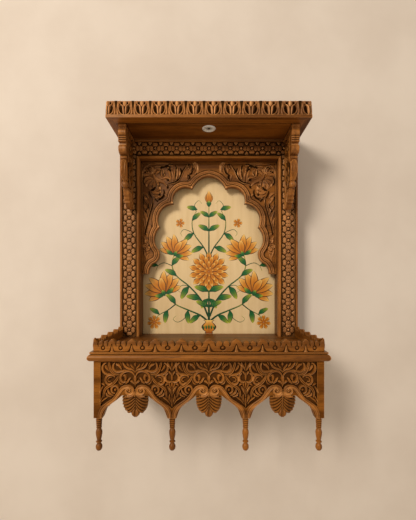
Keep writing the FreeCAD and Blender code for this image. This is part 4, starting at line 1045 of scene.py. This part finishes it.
moulded_front, foot_level, cap_level, wall_end = 27, 465, 642, 84
core = Carving()
core.plate(list(core_line), ((2.0, -8.6), (0.0, -6.6), (0.0, 6.6), (2.0, 8.6)), fine=0)
core = core.motif()
body = Carving()
for half, edge, line in slabs:
    moulded = foot_level < line[0][1] < cap_level
    back = max(u for u, v in line) - moulded_front if moulded else wall_end
    levels = ((edge, -half), (0.0, edge - half), (0.0, half - edge), (edge, half))
    body.plate([(max(u, back), v) for u, v in line], levels, fine=0)
body = body.motif()
foliage = Carving()
foliage.strokes(cheek)
foliage = foliage.motif()
flute_root, leaf_round = 6.0, 0.035
flutes = Carving()
flutes.stroke(rounded, 4.4, ((0, 546, 1.2), (0, 521, 1.9), (0, 485, 1.2)), root=flute_root, fine=5)
for way in (1, -1):
    for path in (((2.9, 546, 1.0), (4.5, 521, 1.7), (2.9, 485, 1.0)),
                 ((5.4, 545, 1.0), (8.9, 519, 1.8), (5.6, 487, 1.1))):
        flutes.stroke(rounded, 4.0, [(way * u, v, w) for u, v, w in path], root=flute_root, fine=5)
for vert in flutes.shape.verts:
    vert.co.z += out_at(vert.co.y) - leaf_round * vert.co.x ** 2
flutes = flutes.motif()
ball_radius, ball_y, ball_z = 11.4, -0.1535, 0.4755
ball = Carving()
bmesh.ops.create_uvsphere(ball.shape, u_segments=20, v_segments=12, radius=ball_radius)
ball = ball.motif()
cheek_half = 0.0086
# Copies of the wood for the brackets: body and fluted leaf lighter as painted light, the core between the cheeks darker
# as painted shade.
bracket_wood = oiled_wood("wood_bracket", 2, 1.3, 0.0026, pale=0.03)
painted_light_leaf_wood = oiled_wood("wood_bracket_leaf_painted_light", 2, 1.75, 0.0016, 0.5)
painted_shade_core_wood = oiled_wood("wood_bracket_core_painted_shade", 2, 0.42, 0.003, 0.15)
for side, name in both_sides:
    middle = side * bracket_x
    seen_aside = on_face(middle, 0, 0, across=(0, -1, 0), out=(1, 0, 0))
    carved("bracket_core_" + name, [(core, seen_aside)], painted_shade_core_wood)
    stamps = [(foliage, on_face(middle + way * cheek_half, 0, 0, across=(0, -1, 0), out=(way, 0, 0)))
              for way in (1, -1)]
    carved("bracket_foliage_" + name, stamps, relief_upright)
    carved("bracket_leaf_" + name, [(flutes, on_face(middle, 0, 0))], painted_light_leaf_wood)
    stamps = [(body, seen_aside), (ball, on_face(middle, ball_y, ball_z))]
    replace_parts(carved("carved_bracket_" + name, stamps, bracket_wood), name + "_bracket")

# Lamp let into the soffit: a glossy white ring round a pale lens with a dark chip in the middle.
# It is pushed up into a round hole and held by its springs.
enamel = Finish("white_enamel")
dusty = enamel.noise(160.0, 3.0).between(0.4, 0.75) * 0.25
set_finish(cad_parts["downlight_ring"],
           enamel.surface(Base_Color=enamel.mix(dusty, (0.80, 0.79, 0.76, 1.0), (0.55, 0.52, 0.47, 1.0)),
                          Roughness=0.18 + dusty * 0.3))
lens_low, lens_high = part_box("downlight_lens")
lens_middle = [(a + b) / 2 for a, b in zip(lens_low, lens_high)]
lens_radius = (lens_high[0] - lens_low[0]) / 2
lens = Finish("lamp_lens")
from_middle_x = lens.axis("X") - lens_middle[0]
from_middle_y = lens.axis("Y") - lens_middle[1]
distance = (from_middle_x * from_middle_x + from_middle_y * from_middle_y).math("SQRT") / lens_radius
chip = 1 - distance.between(0.26, 0.46)
glass = lens.mix(distance.between(0.5, 1.0), (0.42, 0.41, 0.38, 1.0), (0.72, 0.71, 0.67, 1.0))
set_finish(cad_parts["downlight_lens"],
           lens.surface(Base_Color=lens.mix(chip * 0.93, glass, (0.015, 0.013, 0.012, 1.0)),
                        Roughness=0.12 + lens.noise(300.0, 2.0) * 0.1))

# Painted board in the niche: a cream ground with a plant in a pot, painted by hand in green and
# orange with thin dark outlines. The board is pinned to the back board.
cream = Finish("cream_ground")
fibre = cream.noise(60.0, 4.0, 0.6, cream.stretched((1.0, 1.0, 0.08))).between(0.35, 0.7)
age = cream.noise(5.0, 4.0).between(0.35, 0.75)
ground_colour = cream.mix(fibre * 0.55, (0.71, 0.50, 0.245, 1.0), (0.60, 0.40, 0.175, 1.0))
ground_colour = cream.mix(age * 0.45, ground_colour, (0.76, 0.56, 0.31, 1.0))
# Painted shade: the ground darkens to a warm brown where the arch and frame close over it, found by ambient occlusion.
open_air = cream.node("ShaderNodeAmbientOcclusion", {"samples": 8}, {"Distance": 0.03}, output="AO")
shade = (1 - open_air).between(0.25, 0.9)
ground_colour = cream.mix(shade * 0.55, ground_colour, (0.30, 0.17, 0.06, 1.0))
set_finish(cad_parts["picture_panel"],
           cream.surface(Base_Color=ground_colour, Roughness=0.62 + fibre * 0.1,
                         Normal=cream.bump(fibre, 0.15, 0.0004), Specular_IOR_Level=0.25))


def brushed(name, root, middle, tip, line):
    """Paint that changes from the root of each stroke to its tip, with dark lines at its edges."""
    paint = Finish(name)
    stroke_map = paint.node("ShaderNodeUVMap", {"uv_map": "stroke"})
    across = paint.node("ShaderNodeSeparateXYZ", None, {"Vector": stroke_map}, output="X")
    along = paint.node("ShaderNodeSeparateXYZ", None, {"Vector": stroke_map}, output="Y")
    streaks = paint.noise(500.0, 3.0) * 0.2 - 0.1
    colour = paint.mix((along + streaks).between(0.0, 0.55), root, middle)
    colour = paint.mix((along + streaks).between(0.45, 1.0), colour, tip)
    side = (across - 0.5).math("ABSOLUTE")
    colour = paint.mix(side.between(0.10, 0.0) * 0.55 * (1 - along), colour, root)
    colour = paint.mix(side.between(0.16, 0.19), colour, line)
    return paint.surface(Base_Color=colour, Roughness=0.5 + streaks * 0.5, Specular_IOR_Level=0.3)


green_paint = brushed("green_paint", (0.003, 0.048, 0.012, 1.0), (0.012, 0.125, 0.022, 1.0), (0.44, 0.44, 0.02, 1.0),
                      (0.003, 0.020, 0.006, 1.0))
orange_paint = brushed("orange_paint", (0.25, 0.055, 0.003, 1.0), (0.60, 0.20, 0.008, 1.0), (0.88, 0.53, 0.13, 1.0),
                       (0.045, 0.012, 0.003, 1.0))
brush = ((-1.0, 0.0), (-0.99, 1.0), (-0.80, 1.0), (0.0, 1.0), (0.80, 1.0), (0.99, 1.0), (1.0, 0.0))
coat, paint_root = 0.14, 0.05
green = Carving(mapped=True)
orange = Carving(mapped=True)


def dab(paint, u, v, turn, reach, half, lift=0.0, bend=0.0, full=0.55):
    """One petal or leaf from a point: turn in degrees from upright, widest at the share full."""
    path = []
    for share, width in ((0.0, 0.12), (0.18, 0.55), (full, 1.0), (0.84, 0.62), (1.0, 0.06)):
        angle = math.radians(turn + bend * share)
        path.append((u + reach * share * math.sin(angle), v + reach * share * math.cos(angle), half * width))
    paint.stroke(brush, coat, path, lift=lift, root=paint_root)


def rosette(u, v, rings):
    """A round flower: rings of (petals, radius at the root, reach, half width, first turn)."""
    for k, (petals, inner, reach, half, first) in enumerate(rings):
        for i in range(petals):
            turn = first + 360 * i / petals
            angle = math.radians(turn)
            root_u, root_v = u + inner * math.sin(angle), v + inner * math.cos(angle)
            dab(orange, root_u, root_v, turn, reach, half, 0.12 * k, full=0.66)


def lily(u, v, lean, size):
    """A flower seen from the side: outer petals first, then the inner ones, and two sepals."""
    petals = ((82, 0.86, 0.17), (58, 0.98, 0.20), (34, 1.04, 0.21), (12, 1.08, 0.20), (0, 0.80, 0.19))
    for k, (spread, reach, half) in enumerate(petals):
        for way in (1, -1) if spread else (1,):
            dab(orange, u, v, lean + way * spread, reach * size, half * size, 0.06 * k, bend=way * 10)
    for way in (1, -1):
        dab(green, u, v, lean + way * 108, 0.5 * size, 0.11 * size, 0.36, bend=-way * 30)
    dab(green, u, v - 0.12 * size, lean, 0.30 * size, 0.12 * size, 0.42)


def stem(points, thick, way=1):
    """A stem, and a leaf at each given point: (across, up, turn of the leaf, reach) or (across, up)."""
    half = 0.5 * thick
    last = len(points) - 1
    path = [(way * p[0], p[1], half * (1 - 0.6 * i / last)) for i, p in enumerate(points)]
    green.stroke(rounded, coat, path, root=paint_root)
    for p in points:
        if len(p) == 4:
            turn, reach = way * p[2], p[3]
            dab(green, way * p[0], p[1], turn, reach, reach * 0.21, 0.12, bend=18 if turn > 0 else -18, full=0.42)


side_stems = (
    (7.5, ((5, 44), (30, 64, 110, 46), (72, 82, 165, 46), (116, 102, 24, 46), (150, 134))),
    (6.8, ((3, 60), (28, 118, 60, 52), (68, 164, 130, 52), (112, 200, 44, 46), (128, 236, -24, 44), (122, 272))),
    (5.4, ((0, 262), (18, 300, 95, 46), (52, 348, 112, 44), (58, 392, -30, 40), (44, 424))),
    (4.6, ((116, 102), (142, 82, 150, 46), (172, 66, 40, 40), (188, 50))),
    (3.2, ((128, 236), (156, 246), (176, 236, 70, 34), (184, 218))),
    (2.8, ((72, 82), (84, 54), (108, 40), (124, 50), (114, 62))),
    (2.6, ((44, 424), (50, 446), (36, 462), (24, 452))),
    (2.6, ((68, 164), (92, 168), (108, 152), (96, 142))),
    (2.6, ((52, 348), (84, 362), (98, 350), (92, 338))),
)
for way in (1, -1):
    for thick, points in side_stems:
        stem(points, thick, way)
    lily(way * 153, 140, way * 24, 72)
    lily(way * 120, 276, way * -20, 64)
    rosette(way * 190, 40, ((7, 4, 22, 6.6, 0), (7, 1, 12, 3.6, 26)))
    rosette(way * 100, 384, ((5, 2, 15, 5.6, 18), (5, 1, 8, 3.0, 54)))
    for level, turn, reach in ((92, 50, 48), (122, 128, 42), (146, 56, 52)):
        dab(green, way * 1, level, way * turn, reach, reach * 0.22, 0.1, bend=way * 16, full=0.42)
    dab(green, way * 40, 430, way * 62, 38, 8.6, 0.1, bend=way * 14, full=0.42)
stem([(0, 44), (0, 100), (0, 150), (0, 200)], 9.0)
stem([(0, 262), (0, 340), (0, 400), (0, 452)], 5.6)
rosette(0, 216, ((14, 26, 44, 10.4, 0), (14, 15, 38, 9.0, 13), (10, 7, 29, 7.4, 0), (7, 1, 15, 5.0, 20)))
for way in (1, -1):
    dab(green, 0, 356, way * 46, 42, 9.2, 0.1, bend=way * 16, full=0.42)
    dab(green, 0, 404, way * 40, 36, 8.0, 0.1, bend=way * 16, full=0.42)
    dab(orange, 0, 450, way * 30, 38, 8.0, 0.1, bend=way * -24)
dab(orange, 0, 448, 0, 48, 9.4, 0.2)
dab(green, 0, 440, 0, 22, 8.4, 0.3)
orange.stroke(brush, 0.3, [(0, 0.6, 13), (0, 4, 14), (0, 7, 12), (0, 14, 21), (0, 24, 26), (0, 34, 19), (0, 40, 12),
                           (0, 44, 15), (0, 47, 20)], root=paint_root)
for k in range(-2, 3):
    dab(green, 9 * k, 15, 0, 17 - 2 * abs(k), 3.4, 0.24)
panel_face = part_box("picture_panel")[0][1]
shelf_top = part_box("shelf_board")[1][2]
painted = on_face(0, panel_face, shelf_top)
carved("painted_leaves", [(green.motif(), painted)], green_paint)
carved("painted_flowers", [(orange.motif(), painted)], orange_paint)
